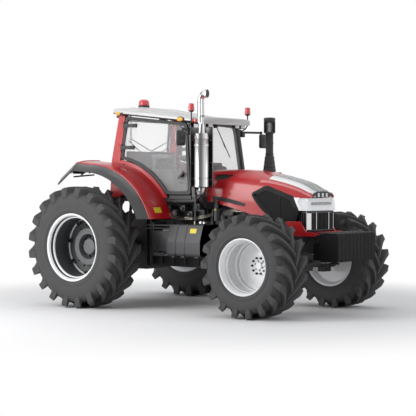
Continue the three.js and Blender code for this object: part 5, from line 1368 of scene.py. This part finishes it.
exhaust = {
    "x": 1.802, "y": -0.718, "bottom": 1.835, "top": 2.64, "radius": 0.124, "pipe": 0.041,
    "shield": 0.17, "shieldTop": 2.735, "shieldWall": 0.004, "shieldFrom": 20, "shieldTo": 226,
    "mouthOval": 1.42,
    # silencer as (cut from the radius, height over the bottom), then (cut, height over the top)
    "lowerCan": [(0.012, 0), (0, 0.01), (0, 0.035), (0.004, 0.04)],
    "upperCan": [(0.004, -0.085), (0, -0.08), (0, -0.065), (0.004, -0.06), (0.004, -0.012), (0.014, 0)],
    # outlet cone as (radius over the pipe's, height over the top)
    "outlet": [(0.02, 0.006), (0.016, 0.06), (0.004, 0.15), (0.004, 0.155)],
    "strap": [(-0.006, -0.012), (0.003, -0.01), (0.003, 0.01), (-0.006, 0.012)],
}


def makeExhaust():
    x, y, r, pipe = exhaust["x"], exhaust["y"], exhaust["radius"], exhaust["pipe"]
    bottom, top, tip = exhaust["bottom"], exhaust["top"], boxOf("exhaust")[1][2]
    centre = (x, y, 0)
    can = [(0, bottom)] + [(r - cut, bottom + z) for cut, z in exhaust["lowerCan"]]
    can += [(r - cut, top + z) for cut, z in exhaust["upperCan"]]
    can += [(pipe + wide, top + z) for wide, z in exhaust["outlet"]]
    parts = [turnedShape(can + [(0, can[-1][1])], centre, "z", 64)]
    # The stack: up, bent forwards, with a clamp, a black disc in its mouth as painted shade, and a drain pipe
    # beside it
    bend, sx, sy = tip - 0.175, x - 0.02, y - 0.012
    line = smoothLine([
        (x, y, top + 0.1), (sx, sy, top + 0.2), (sx, sy, bend - 0.1), (sx, sy, bend),
        (sx + 0.024, sy, bend + 0.07), (sx + 0.064, sy, bend + 0.104), (sx + 0.118, sy, tip - 0.06)], 6)
    parts.append(pathTube(line, pipe, 28, smooth=False))
    parts.append(rod((sx, sy, top + 0.17), (sx, sy, top + 0.245), pipe + 0.007, 28))
    # a steel collar, then a black disc in the mouth as painted shade inside the open pipe
    for reach, grow, number in ((0.018, 0.004, 0),
                                (0.021, -0.001, 1)):     # the mouth is cut upright, a tall oval
        plate = rod((-0.022, 0, 0), (reach, 0, 0), pipe + grow, 32)
        place = line[-1] - [0, 0, 0.01]
        parts.append(Shape(plate.points * [1, 1, exhaust["mouthOval"]] + place, plate.faces, number))
    px, py = x + 0.026, y - 0.016
    for z0, z1, size, number in ((top + 0.14, tip - 0.15, 0.026, 2), (top + 0.245, top + 0.262, 0.031, 1)):
        parts.append(rod((px, py, z0), (px, py, z1), size, 20).finish(number))
    parts.append(rod((px, py, tip - 0.152), (px + 0.022, py, tip - 0.122), 0.019, 16).finish(3))
    # The dark pipe from the can to the engine, and the flanged elbow under the can
    parts.append(pathTube([
        (x, y, bottom + 0.02), (x, y, 1.775), (x - 0.01, y + 0.03, 1.66), (x - 0.01, y + 0.16, 1.575),
        (x, -0.4, 1.566), (x, -0.2803, 1.566)], 0.052, 24).finish(1))
    elbow = smoothLine([
        (x + 0.005, y, bottom + 0.01), (x + 0.005, y - 0.01, 1.8), (x - 0.01, y - 0.035, 1.752),
        (x - 0.04, y - 0.08, 1.738)], 6)
    parts.append(pathTube(elbow, 0.062, 28, smooth=False))
    mouth = elbow[-1] - elbow[-3]
    mouth /= np.linalg.norm(mouth)
    # the elbow's steel lip, then a black disc inside it as painted shade in the open pipe
    for start, end, size, number in ((-0.012, 0.002, 0.07, 0), (0.0005, 0.004, 0.05, 1)):
        parts.append(rod(elbow[-1] + mouth * start, elbow[-1] + mouth * end, size, 28).finish(number))
    for z in (bottom + 0.14, top - 0.18):
        strap = [(r + a, z + b) for a, b in exhaust["strap"]]
        parts.append(turnedShape(strap, centre, "z", 64, closed=True))
    piece("exhaust_finished", joined(parts), "root", [mufflerPaintedReflections, blackPaint, stainless, redLens],
          replaces=["exhaust"], angle=40)
    # Heat shield: a thin half shell behind the silencer, on stays and a bracket from the cab
    outer, first, last = exhaust["shield"], exhaust["shieldFrom"], exhaust["shieldTo"]
    outline = [arc(x, y, outer, first, last, 39), arc(x, y, outer - exhaust["shieldWall"], last, first, 39)]
    shield = [extruded(np.vstack(outline), bottom + 0.01, exhaust["shieldTop"], "z")]
    for z in (bottom + 0.12, 2.2, top - 0.1):
        for angle in np.radians((60, 190)):
            middle, out = np.array([x, y, z]), np.array([math.cos(angle), math.sin(angle), 0])
            shield.append(rod(middle + out * (r - 0.01), middle + out * outer, 0.012, 12))
    shield.append(block((x - 0.15, y + 0.13, 1.862), (x - 0.01, -0.44, 1.874)))
    piece("exhaust_heat_shield", joined(shield), "root", shieldSteel, angle=40)


intake = {
    "x": 2.14, "y": 0.548,
    # profile upwards: folded boot, then the clamped neck, closed at both ends
    "profile": [
        (0, 2.06), (0.06, 2.06), (0.095, 2.07), (0.1, 2.085), (0.098, 2.12), (0.09, 2.13), (0.094, 2.15),
        (0.09, 2.165), (0.083, 2.2), (0.086, 2.215), (0.08, 2.24), (0.074, 2.27), (0.077, 2.285),
        (0.07, 2.31), (0.06, 2.33), (0.064, 2.34), (0.064, 2.36), (0.058, 2.365),
        (0.058, 2.5), (0.063, 2.505), (0.063, 2.525), (0.058, 2.53), (0.058, 2.655), (0.072, 2.675),
        (0.076, 2.685), (0, 2.685)],
    # cap as (radius, height under the top)
    "cap": [(0, -0.075), (0.08, -0.075), (0.088, -0.062), (0.09, -0.02), (0.082, -0.004), (0.05, 0),
            (0, 0)],
    "fins": 24,
    # clamp screws as (distance towards the middle, height)
    "screws": [(0.1, 2.105), (0.066, 2.345)],
}


def makeIntake():
    x, y, top = intake["x"], intake["y"], boxOf("air_intake")[1][2]
    cap = [(r, top + z) for r, z in intake["cap"]]
    fin = block((0.07, -0.002, top - 0.235), (0.089, 0.002, top - 0.07))
    parts = [
        turnedShape(intake["profile"], (x, y, 0), "z", 40), turnedShape(cap, (x, y, 0), "z", 40),
        around(fin, intake["fins"], (0, 0, 1), (0, 0, 0)).moved(x, y, 0),
        rod((x, y, top - 0.24), (x, y, top - 0.225), 0.088, 40),
        rod((x, y, top - 0.23), (x, y, top - 0.07), 0.066, 32).finish(1),
        pathTube([(x, y, 2.08), (x, y, 1.7), (x, y - 0.02, 1.54), (x, y - 0.13, 1.44), (x, 0.37, 1.425),
                  (x, 0.2803, 1.425)], 0.057, 20),
        block((x - 0.015, 0.455, 2.04), (x + 0.22, 0.56, 2.066)),
    ]
    parts += [rod((x - 0.012, y - back, z), (x + 0.012, y - back, z), 0.008, 10) for back,
              z in intake["screws"]]
    piece("air_intake_finished", joined(parts), "root", [blackPlastic, tubeGlass],
          replaces=["air_intake"], angle=40)


mirror = {
    "footX": 1.502, "footZ": 2.7, "plate": (0.022, 0.045), "head": (1.672, 1.049, 2.578),
    "joint": [(0, -0.02), (0.022, -0.02), (0.024, 0.0), (0.022, 0.02), (0, 0.02)],
    # boxes about the head's middle: x from and to, half width, z from and to, corner radius, steps, finish
    "boxes": [
        (-0.034, 0.022, 0.092, -0.124, 0.1, 0.026, 5, 0), (0.014, 0.03, 0.055, -0.02, 0.075, 0.007, 3, 0),
        (0.014, 0.028, 0.045, -0.095, -0.035, 0.006, 3, 0),
        (-0.038, -0.03, 0.078, -0.108, 0.084, 0.0035, 3, 1)],
    "stem": [(1.53, 0.7, 2.735), (1.592, 0.712, 2.8), (1.6, 0.712, 2.87), (1.6, 0.712, 2.985)],
    "beaconFoot": [(0, 2.96), (0.022, 2.96), (0.03, 2.972), (0.047, 2.978), (0.048, 2.986), (0, 2.986)],
    "beaconDome": [(0, 2.984), (0.044, 2.984), (0.046, 3.02), (0.045, 3.035), (0.0435, 3.036), (0.042, 3.075),
                   (0.034, 3.09), (0, 3.095)],
}


def makeMirror(name, side):
    # Bracket and arm, a rounded head with its glass facing back, and a beacon on its stem
    footX, footZ = mirror["footX"], mirror["footZ"]
    x, y, z = mirror["head"]
    wide, tall = mirror["plate"]
    wall = sideY(footX, footZ)
    elbow = np.array([x - 0.01, side * (y - 0.06), footZ])
    plate = [(footX - wide, footZ - tall), (footX + wide, footZ - tall), (footX + wide, footZ + tall),
             (footX - wide, footZ + tall)]
    parts = [
        leaned(extruded(rounded(plate, 0.008), 0.0003, 0.034), side),
        rod((footX, side * (wall + 0.024), footZ), elbow, 0.017, 16),
        sideBox(side, (footX - 0.015, footX + 0.045), (wall + 0.03, wall + 0.11),
                (footZ - 0.075, footZ + 0.015),
                0.01, 3),
        turnedShape(mirror["joint"], elbow, "z", 20), rod(elbow + [0, 0, 0.012], (elbow[0], elbow[1], z),
            0.012, 14),
    ]
    for x0, x1, half, z0, z1, radius, steps, number in mirror["boxes"]:
        box = sideBox(side, (x + x0, x + x1), (y - half, y + half), (z + z0, z + z1), radius, steps)
        parts.append(box.finish(number))
    foot = (footX, wall + 0.02, footZ + 0.025)
    parts.append(pathTube(sided(side, [foot] + mirror["stem"]), 0.01, 12))
    centre = (mirror["stem"][-1][0], side * mirror["stem"][-1][1], 0)
    parts.append(turnedShape(mirror["beaconFoot"], centre, "z", 28).finish(2))
    parts.append(turnedShape(mirror["beaconDome"], centre, "z", 28).finish(3))
    piece(f"mirror_beacon_{name}_finished", joined(parts), "root",
          [blackPlastic, mirrorGlass, blackPlastic, redLens],
          replaces=[f"mirror_beacon_{name}"],
          angle=40)


makeExhaust()
makeIntake()
for sideName, sideSign in sides:
    makeMirror(sideName, sideSign)
print("stacks and mirrors made")


# ---- front weights, tank and what hangs on the chassis ----

weights = {"count": 10, "gap": 0.002, "tyreRoom": 0.05, "ribs": (0.22, 0.41, 0.59, 0.78), "carrier": 0.37}


def makeWeights():
    (x0, y0, z0), (x1, y1, z1) = boxOf("front_weights")
    count, gap, carrier = weights["count"], weights["gap"], weights["carrier"]
    pitch = (y1 - y0) / count
    parts = []
    for k in range(count):
        y = y0 + pitch * k
        rear = x0 + (weights["tyreRoom"] if k in (0, count - 1) else 0)     # room for a turned front tyre
        outline = [(rear, z0 + 0.03), (rear, z1 - 0.03), (rear + 0.03, z1), (x1 - 0.028, z1),
                   (x1 - 0.01, z1 - 0.012),
                   (x1 - 0.01, z1 - 0.026), (x1, z1 - 0.03), (x1, z0 + 0.035), (x1 - 0.025, z0),
                   (rear + 0.03, z0)]
        parts.append(extruded(outline, y + gap, y + pitch - gap))
        # a front plate with upright ribs cast in it, painted pale grey as the lit face of the black weights
        bars = [(y + gap + 0.0005, y + pitch - gap - 0.0005, 0.0012)]
        bars += [(y + share * pitch - 0.0035, y + share * pitch + 0.0035,
                  0.0002) for share in weights["ribs"]]
        for left, right, back in bars:
            parts.append(block((x1 - 0.012, left, z0 + 0.04), (x1 - back, right, z1 - 0.036)).finish(1))
    parts.append(block((x0 + 0.07, y0 + 0.01, z0 + 0.02), (x1 - 0.03, y1 - 0.01, z1 - 0.02)))
    for y in (y0 - 0.002, y1 - 0.004):
        parts.append(rod((x0 + 0.2, y, z1 - 0.055), (x0 + 0.2, y + 0.006, z1 - 0.055), 0.011, 6).finish(2))
    # The carrier behind the block: a dark box, a grey bracket over it, and a bar across the weights
    parts += [
        block((x0 - 0.135, -carrier, z0 + 0.01), (x0 + 0.01, carrier, z1 - 0.155)),
        block((x0 - 0.115, -carrier, z1 - 0.15), (x0 + 0.01, carrier, z1 - 0.035)).finish(2),
        block((x0 + 0.05, y0, z1 - 0.02), (x0 + 0.11, y1, z1 + 0.006)).finish(2),
    ]
    piece("front_weights_finished", joined(parts), "root", [weightSide, weightFacePaintedLit, darkBolt],
          bevel=0.003, replaces=["front_weights"])


tank = {
    "crease": 1.035, "foot": 0.03, "lean": 0.085, "corner": 0.022,
    # bands as (from, to, how far out, finish), the last two measured from the front end
    "straps": [(0.145, 0.172, 0.005, 1), (0.322, 0.35, 0.005, 1), (0, 0.012, 0.004, 0)],
    "label": (0.405, 0.525, 1.158, 1.226), "feet": (0.05, 0.24, 0.5),
}


def makeTank():
    (x0, y0, z0), (x1, y1, z1) = boxOf("fuel_tank")
    crease, foot, lean = tank["crease"], tank["foot"], tank["lean"]
    outline = [(y1, z0), (y0 + foot, z0), (y0, z0 + foot), (y0, crease), (y0 + lean, z1), (y1, z1)]
    parts = [extruded(rounded(outline, tank["corner"]), x0, x1, "x")]
    bands = [(x0 + a, x0 + b, out, number) for a, b, out, number in tank["straps"]]
    for a, b, out, number in bands + [(x1 - 0.012, x1, 0.004, 0)]:
        outside = [(y1, z0 - out), (y0 + 0.028, z0 - out), (y0 - out, z0 + 0.028), (y0 - out, crease),
                   (y0 + lean - 0.9 * out, z1 + out), (y1, z1 + out)]
        parts.append(extruded(outside, a, b, "x").finish(number))
    # The blank label lies on the sloping face: y grows evenly from the crease to the top
    a, b, low, high = tank["label"]
    label = [(y0 + lean * (z - crease) / (z1 - crease) + out, z)
             for z, out in ((low, -0.0015), (low, 0.0015), (high, 0.0015), (high, -0.0015))]
    parts.append(extruded(label, x0 + a, x0 + b, "x").finish(2))
    parts.append(rod((x0 + 0.5, -0.66, z1 - 0.01), (x0 + 0.5, -0.66, z1 + 0.035), 0.045, 28).finish(1))
    for x in tank["feet"]:
        parts.append(roundedBox((x0 + x, -0.88, z0 - 0.028), (x0 + x + 0.075, -0.6, z0 + 0.002),
                                0.008).finish(1))
    piece("fuel_tank_finished", joined(parts), "root", [tankPlastic, blackPaint, yellowLabel],
          bevel=0.002, replaces=["fuel_tank"])


def makeBatteryBox():
    refined("battery_box_steps", blackPaint, 0.004)
    outside = boxOf("battery_box_steps")[1][1]
    parts = [pathTube([(1.24, 0.83, 1.3), (1.2, 0.86, 1.6), (1.16, 0.83, 1.74)], 0.014, 12)]
    for k in range(3):
        y, z = outside - 0.04 * k, 0.59 + 0.29 * k
        for x in np.linspace(1.34, 1.72, 14):
            parts.append(block((x - 0.006, y - 0.135, z - 0.001), (x + 0.006, y - 0.015, z + 0.006)))
    piece("step_treads", joined(parts), "root", darkBolt)


chassis = {
    # finish, then pairs of x, y and z on the left, and the corner radius
    "boxes": [
        ("dark", (1.88, 2.14), (0.27, 0.4), (1.4, 1.47), 0.008),
        ("dark", (1.655, 1.715), (0.1, 0.335), (0.7, 1.45), 0.02),
        ("dark", (0.44, 1.62), (0.225, 0.25), (0.93, 0.955), 0.008),
        ("dark", (0.42, 0.47), (0.22, 0.285), (0.62, 1.36), 0.015),
        ("dark", (0.98, 1.64), (0.3, 0.44), (1.33, 1.6), 0.012),
        ("grey", (1.79, 1.812), (0.43, 0.455), (1.4, 1.66), 0.004),
        ("dark", (1.85, 1.9), (0.36, 0.47), (1.355, 1.375), 0.004)],
    # finish, start, end, radius and number of sides
    "rods": [
        ("grey", (1.93, 0.36, 1.17), (1.93, 0.36, 1.4), 0.055, 24),
        ("grey", (2.08, 0.36, 1.17), (2.08, 0.36, 1.37), 0.048, 24),
        ("dark", (1.93, 0.36, 1.4), (1.93, 0.36, 1.43), 0.062, 24),
        ("dark", (2.08, 0.36, 1.37), (2.08, 0.36, 1.4), 0.055, 24),
        ("dark", (2.35, 0.345, 1.12), (2.58, 0.345, 1.12), 0.058, 24),
        ("grey", (1.742, 0.8, 1.33), (1.742, 0.8, 1.64), 0.01, 14),
        ("pale", (1.79, 0.7, 1.318), (1.79, 0.74, 1.318), 0.022, 14),
        ("pale", (1.84, 0.66, 1.312), (1.84, 0.72, 1.312), 0.017, 14),
        ("brass", (1.7, 0.76, 1.285), (1.7, 0.76, 1.335), 0.01, 8),
        ("pale", (1.06, 0.6, 1.435), (1.06, 0.645, 1.435), 0.02, 14),
        ("pale", (1.22, 0.62, 1.445), (1.22, 0.67, 1.445), 0.035, 18),
        ("grey", (1.875, 0.46, 1.335), (1.875, 0.46, 1.6), 0.034, 20),
        ("grey", (1.875, 0.46, 1.6), (1.875, 0.46, 1.64), 0.024, 20),
        ("yellow", (1.879, 0.485, 1.505), (1.882, 0.4965, 1.505), 0.014, 14),
        ("dark", (3.045, 0.22, 0.732), (3.045, 0.26, 0.732), 0.112, 28),
        ("dark", (3.045, 0.56, 0.732), (3.045, 0.6, 0.732), 0.104, 28)],
    # finish, points of the path, radius and number of sides
    "tubes": [
        ("hose", [(0.35, 0.27, 1.3), (0.2, 0.36, 1.12), (0.12, 0.62, 1.08), (0.05, 0.86, 1.07)], 0.009, 10),
        ("hose", [(3.235, 0.235, 0.765), (3.17, 0.24, 0.85), (3.05, 0.212, 0.93), (2.8, 0.214, 0.99)],
         0.009, 10)],
    # behind the tank on the right: a box on its beam with rails above it
    "rightBoxes": [
        ("dark", (0.965, 1.262), (0.52, 0.84), (0.865, 1.185), 0.018),
        ("grey", (0.93, 1.25), (0.5, 0.8), (0.8, 0.858), 0.008),
        ("dark", (0.9, 0.94), (0.5, 0.8), (0.8, 1.3), 0.008)],
    "rightRods": [
        ("grey", (0.72, 0.78, 1.215), (1.25, 0.78, 1.215), 0.012, 14),
        ("grey", (0.72, 0.78, 1.262), (1.25, 0.78, 1.262), 0.012, 14),
        ("pale", (1.12, 0.8, 1.19), (1.262, 0.8, 1.19), 0.01, 12)],
    "rightTubes": [("hose", [(1.05, 0.7, 0.86), (1.08, 0.82, 0.84), (1.16, 0.82, 0.84), (1.2, 0.7, 0.86)],
                    0.014, 12)],
    # on the left: an air reservoir on two brackets
    "leftBoxes": [
        ("dark", (0.95, 1.05), (0.24, 0.66), (0.86, 0.92), 0.006),
        ("dark", (0.95, 1.05), (0.24, 0.66), (1.06, 1.12), 0.006)],
    "leftRods": [
        ("grey", (1.0, 0.72, 0.72), (1.0, 0.72, 1.2), 0.1, 32),
        ("grey", (1.0, 0.72, 1.2), (1.0, 0.72, 1.225), 0.075, 32, 0.04)],
    "leftTubes": [],
    "valves": [(1.02, 1.46), (1.14, 1.4), (1.3, 1.47), (1.44, 1.38), (1.58, 1.5)],
    "gearRibs": (0.62, 0.86, 1.1, 1.36), "flangeBolts": (2.8, 2.92, 3.17, 3.29, 3.4),
    "pipes": (1.345, 1.362, 1.379),
    # bolts round a shaft: how many, first angle, circle's radius, height, x, y from and to, bolt's radius
    "boltRings": [(8, 22.5, 0.155, 0.925, 0.0, 0.934, 0.92, 0.012),
                  (6, 0, 0.1, 0.732, 3.045, 0.26, 0.272, 0.01)],
    "pieces": {
        "dark": ("chassis_castings", castIron, "cast_iron"),
        "grey": ("chassis_filters_and_valves", greyCast, "cast_iron"),
        "pale": ("chassis_bolts_and_rods", stainless, "chrome_steel"),
        "brass": ("chassis_pipes", steelPipe, "chrome_steel"),
        "hose": ("chassis_hoses", hoseRubber, "black_plastic"),
        "yellow": ("reservoir_marks", yellowLabel, "black_plastic")},
}


def makeChassisDetails():
    # Ribs, covers, pipes and boxes on the plain engine and gearbox, both sides
    engineLow, engineHigh = boxOf("engine_block")
    rear, front = engineLow[0], engineHigh[0]
    parts = {key: [] for key in chassis["pieces"]}
    for name, side in sides:
        boxes = chassis["boxes"] + chassis[name + "Boxes"]
        rods = chassis["rods"] + chassis[name + "Rods"]
        tubes = chassis["tubes"] + chassis[name + "Tubes"]
        # cylinder block ribs and head covers, manifold and rocker cover
        for k in range(6):
            x = rear + 0.12 + k * 0.155
            boxes.append(("dark", (x, x + 0.03), (0.275, 0.305), (1.05, 1.5), 0.008))
            rods.append(("grey", (x + 0.05, 0.27, 1.6), (x + 0.05, 0.345, 1.6), 0.03, 16))
            rods.append(("dark", (x + 0.05, 0.345, 1.6), (x + 0.05, 0.352, 1.6), 0.014, 6))
        rods.append(("dark", (rear + 0.1, 0.335, 1.6), (front - 0.15, 0.335, 1.6), 0.038, 18))
        boxes.append(("dark", (rear + 0.1, front - 0.12), (0.14, 0.255), (1.83, 1.9), 0.02))
        # flywheel housing bolts, gearbox ribs and valve blocks
        rods += [("pale", (1.655, 0.315, z), (1.64, 0.315, z), 0.011,
                  6) for z in 0.76 + 0.105 * np.arange(7)]
        boxes += [("dark", (x, x + 0.028), (0.225, 0.262), (0.64, 1.3), 0.008) for x in chassis["gearRibs"]]
        for x, z in chassis["valves"]:
            boxes.append(("dark", (x, x + 0.085), (0.42, 0.6), (z, z + 0.1), 0.012))
            rods.append(("grey", (x + 0.04, 0.6, z + 0.05), (x + 0.04, 0.635, z + 0.05), 0.02, 12))
        # pipes under the cab floor and fuel lines along the head
        for k, z in enumerate(chassis["pipes"]):
            tubes.append(("brass",
                          [(1.0 + 0.02 * k, 0.47, z + 0.02), (1.3, 0.52, z), (1.62, 0.46, z + 0.03),
                                    (1.78, 0.37, z + 0.08)], 0.004, 8))
            tubes.append(("brass", [(1.93, 0.39, 1.475 - 0.012 * k), (2.08, 0.405, 1.5 - 0.016 * k),
                                    (2.22, 0.4, 1.52 - 0.02 * k), (2.42, 0.375, 1.545 - 0.03 * k)],
                                    0.0042, 8))
        # bolts along the front frame, on the axle housings and on the drive housing
        rods += [("pale", (x, 0.204, 1.03), (x, 0.217, 1.03), 0.013, 6) for x in chassis["flangeBolts"]]
        for count, first, radius, height, x, y0, y1, size in chassis["boltRings"]:
            for px, pz in arc(x, height, radius, first, first + 360, count)[:-1]:
                rods.append(("pale", (px, y0, pz), (px, y1, pz), size, 6))
        for key, x, y, z, radius in boxes:
            parts[key].append(sideBox(side, x, y, z, radius, 3))
        for key, start, end, *sizes in rods:
            parts[key].append(rod(*sided(side, (start, end)), *sizes))
        for key, path, radius, count in tubes:
            parts[key].append(pathTube(sided(side, path), radius, count))
    # front drive shaft, fan and pulley
    parts["dark"] += [
        rod((1.6, 0, 0.7), (2.95, 0, 0.745), 0.042, 20), rod((front, 0, 1.33), (front + 0.08, 0, 1.33),
            0.2, 32),
        rod((front, 0, 1.6), (front + 0.07, 0, 1.6), 0.08, 24)]
    for key, (name, finish, slot) in chassis["pieces"].items():
        piece(name, joined(parts[key]), "root", finish)


makeWeights()
makeTank()
makeBatteryBox()
makeChassisDetails()
print("chassis details made")
# ---- nodes that keep their shape, with rounded edges ----

plain = [
    # finish, width of the rounded edges and nodes
    (castIron, 0.006, ("engine_block", "transmission_housing", "front_frame", "front_axle_beam",
                       "steering_cylinder", "lift_arms", "steering_knuckle_left", "steering_knuckle_right",
                       "lower_link_left", "lower_link_right", "lift_rod_left", "lift_rod_right")),
    (chrome, 0.002, ("steering_rod",)),
    (blackPlastic, 0.004, ("rear_window_frame", "cab_rear_panel", "firewall", "dashboard", "cab_floor")),
    (blackPaint, 0.006, ("front_pillar_left", "front_pillar_right")),
    (redPaint, 0.006, ("rear_pillar_left", "rear_pillar_right", "front_bumper")),
]
for finish, width, nodes in plain:
    for node in nodes:
        refined(node, finish, width)
print("frame nodes finished")


# ---- floor, light and camera ----

studio = {
    "floorSize": 60.0, "skyStrength": 0.52, "skyColour": (0.96, 0.97, 1.0, 1.0),
    # lights as name, place, aim, width, height and power
    "lights": [
        ("key", (-3.6, -8.6, 4.3), (0.7, 0.0, 1.6), 4.5, 7.0, 560.0),
        ("fill", (10.0, 4.0, 5.0), (1.0, 0.0, 1.2), 6.0, 6.0, 120.0),
        ("top", (0.0, 1.0, 10.0), (0.0, 0.0, 1.0), 7.0, 7.0, 130.0)],
    "fadeFrom": 3.2, "fadeTo": 6.5,
    "lens": 113.05, "shift": (-0.0108, 0.0491), "target": (1.45, 0.0, 1.2), "distance": 20.22,
    "azimuth": 37.617, "elevation": 2.054,
}


def seenDirectly(nodes):
    # 1 where the camera, a mirror or glass sees the surface, 0 where it only gives light
    seen = nodes.node("ShaderNodeLightPath", output="Is Camera Ray")
    for ray in ("Is Glossy Ray", "Is Transmission Ray"):
        seen = seen.math("MAXIMUM", seen, nodes.node("ShaderNodeLightPath", output=ray))
    return seen


def makeWorld():
    # Soft light for the tractor, and plain white where the background itself is seen
    world = bpy.data.worlds.new("studio")
    bpy.context.scene.world = world
    world.use_nodes = True
    nodes = Nodes(world.node_tree)
    sky, white = [nodes.node("ShaderNodeBackground", {}, {"Color": colour, "Strength": strength})
                  for colour, strength in ((studio["skyColour"], studio["skyStrength"]), ((1, 1, 1, 1), 1.0))]
    mix = nodes.node("ShaderNodeMixShader", {}, {0: seenDirectly(nodes), 1: sky, 2: white})
    nodes.tree.links.new(mix.link, nodes.tree.nodes["World Output"].inputs["Surface"])


def makeFloor():
    # The floor shows shadows near the tractor and runs out to the white of the background
    half = studio["floorSize"] / 2
    mesh = bpy.data.meshes.new("floor")
    mesh.from_pydata([(-half, -half, 0), (half, -half, 0), (half, half, 0), (-half, half, 0)], [],
                     [(0, 1, 2, 3)])
    floor = bpy.data.objects.new("floor", mesh)
    bpy.context.scene.collection.objects.link(floor)
    paint = Paint("pale floor", Roughness=0.8, Specular_IOR_Level=0.1)
    paint.shader.inputs["Base Color"].default_value = (0.93, 0.93, 0.93, 1)
    distance = paint.node("ShaderNodeVectorMath", {"operation": "LENGTH"}, {0: paint.place()}, output=1)
    far = paint.node("ShaderNodeMapRange", {"interpolation_type": "SMOOTHSTEP"}, {
        "Value": distance, "From Min": studio["fadeFrom"], "From Max": studio["fadeTo"]})
    white = paint.node("ShaderNodeEmission", {}, {"Color": (1, 1, 1, 1), "Strength": 1.0})
    mix = paint.node("ShaderNodeMixShader", {}, {
        0: far * seenDirectly(paint), 1: Socket(paint, paint.shader.outputs[0]), 2: white})
    paint.tree.links.new(mix.link, paint.tree.nodes["Material Output"].inputs["Surface"])
    mesh.materials.append(paint.material)


def areaLight(name, place, aim, width, height, power):
    light = bpy.data.lights.new(name, "AREA")
    light.shape, light.size, light.size_y, light.energy = "RECTANGLE", width, height, power
    item = bpy.data.objects.new(name, light)
    item.location = place
    item.rotation_euler = (Vector(aim) - Vector(place)).to_track_quat("-Z", "Y").to_euler()
    bpy.context.scene.collection.objects.link(item)


def makeCamera():
    camera = bpy.data.objects.new("camera", bpy.data.cameras.new("camera"))
    azimuth, elevation = math.radians(studio["azimuth"]), math.radians(studio["elevation"])
    back = Vector((math.sin(azimuth) * math.cos(elevation), -math.cos(azimuth) * math.cos(elevation),
                   math.sin(elevation)))
    camera.location = Vector(studio["target"]) + Vector((axleX, 0, 0)) + back * studio["distance"]
    camera.rotation_euler = (-back).to_track_quat("-Z", "Y").to_euler()
    camera.data.lens, camera.data.sensor_width = studio["lens"], 36.0
    camera.data.shift_x, camera.data.shift_y = studio["shift"]
    camera.data.clip_end = 200.0
    bpy.context.scene.collection.objects.link(camera)
    bpy.context.scene.camera = camera


makeWorld()
makeFloor()
for row in studio["lights"]:
    areaLight(*row)
makeCamera()
bpy.context.scene.view_settings.view_transform = "Standard"
print("stage ready")
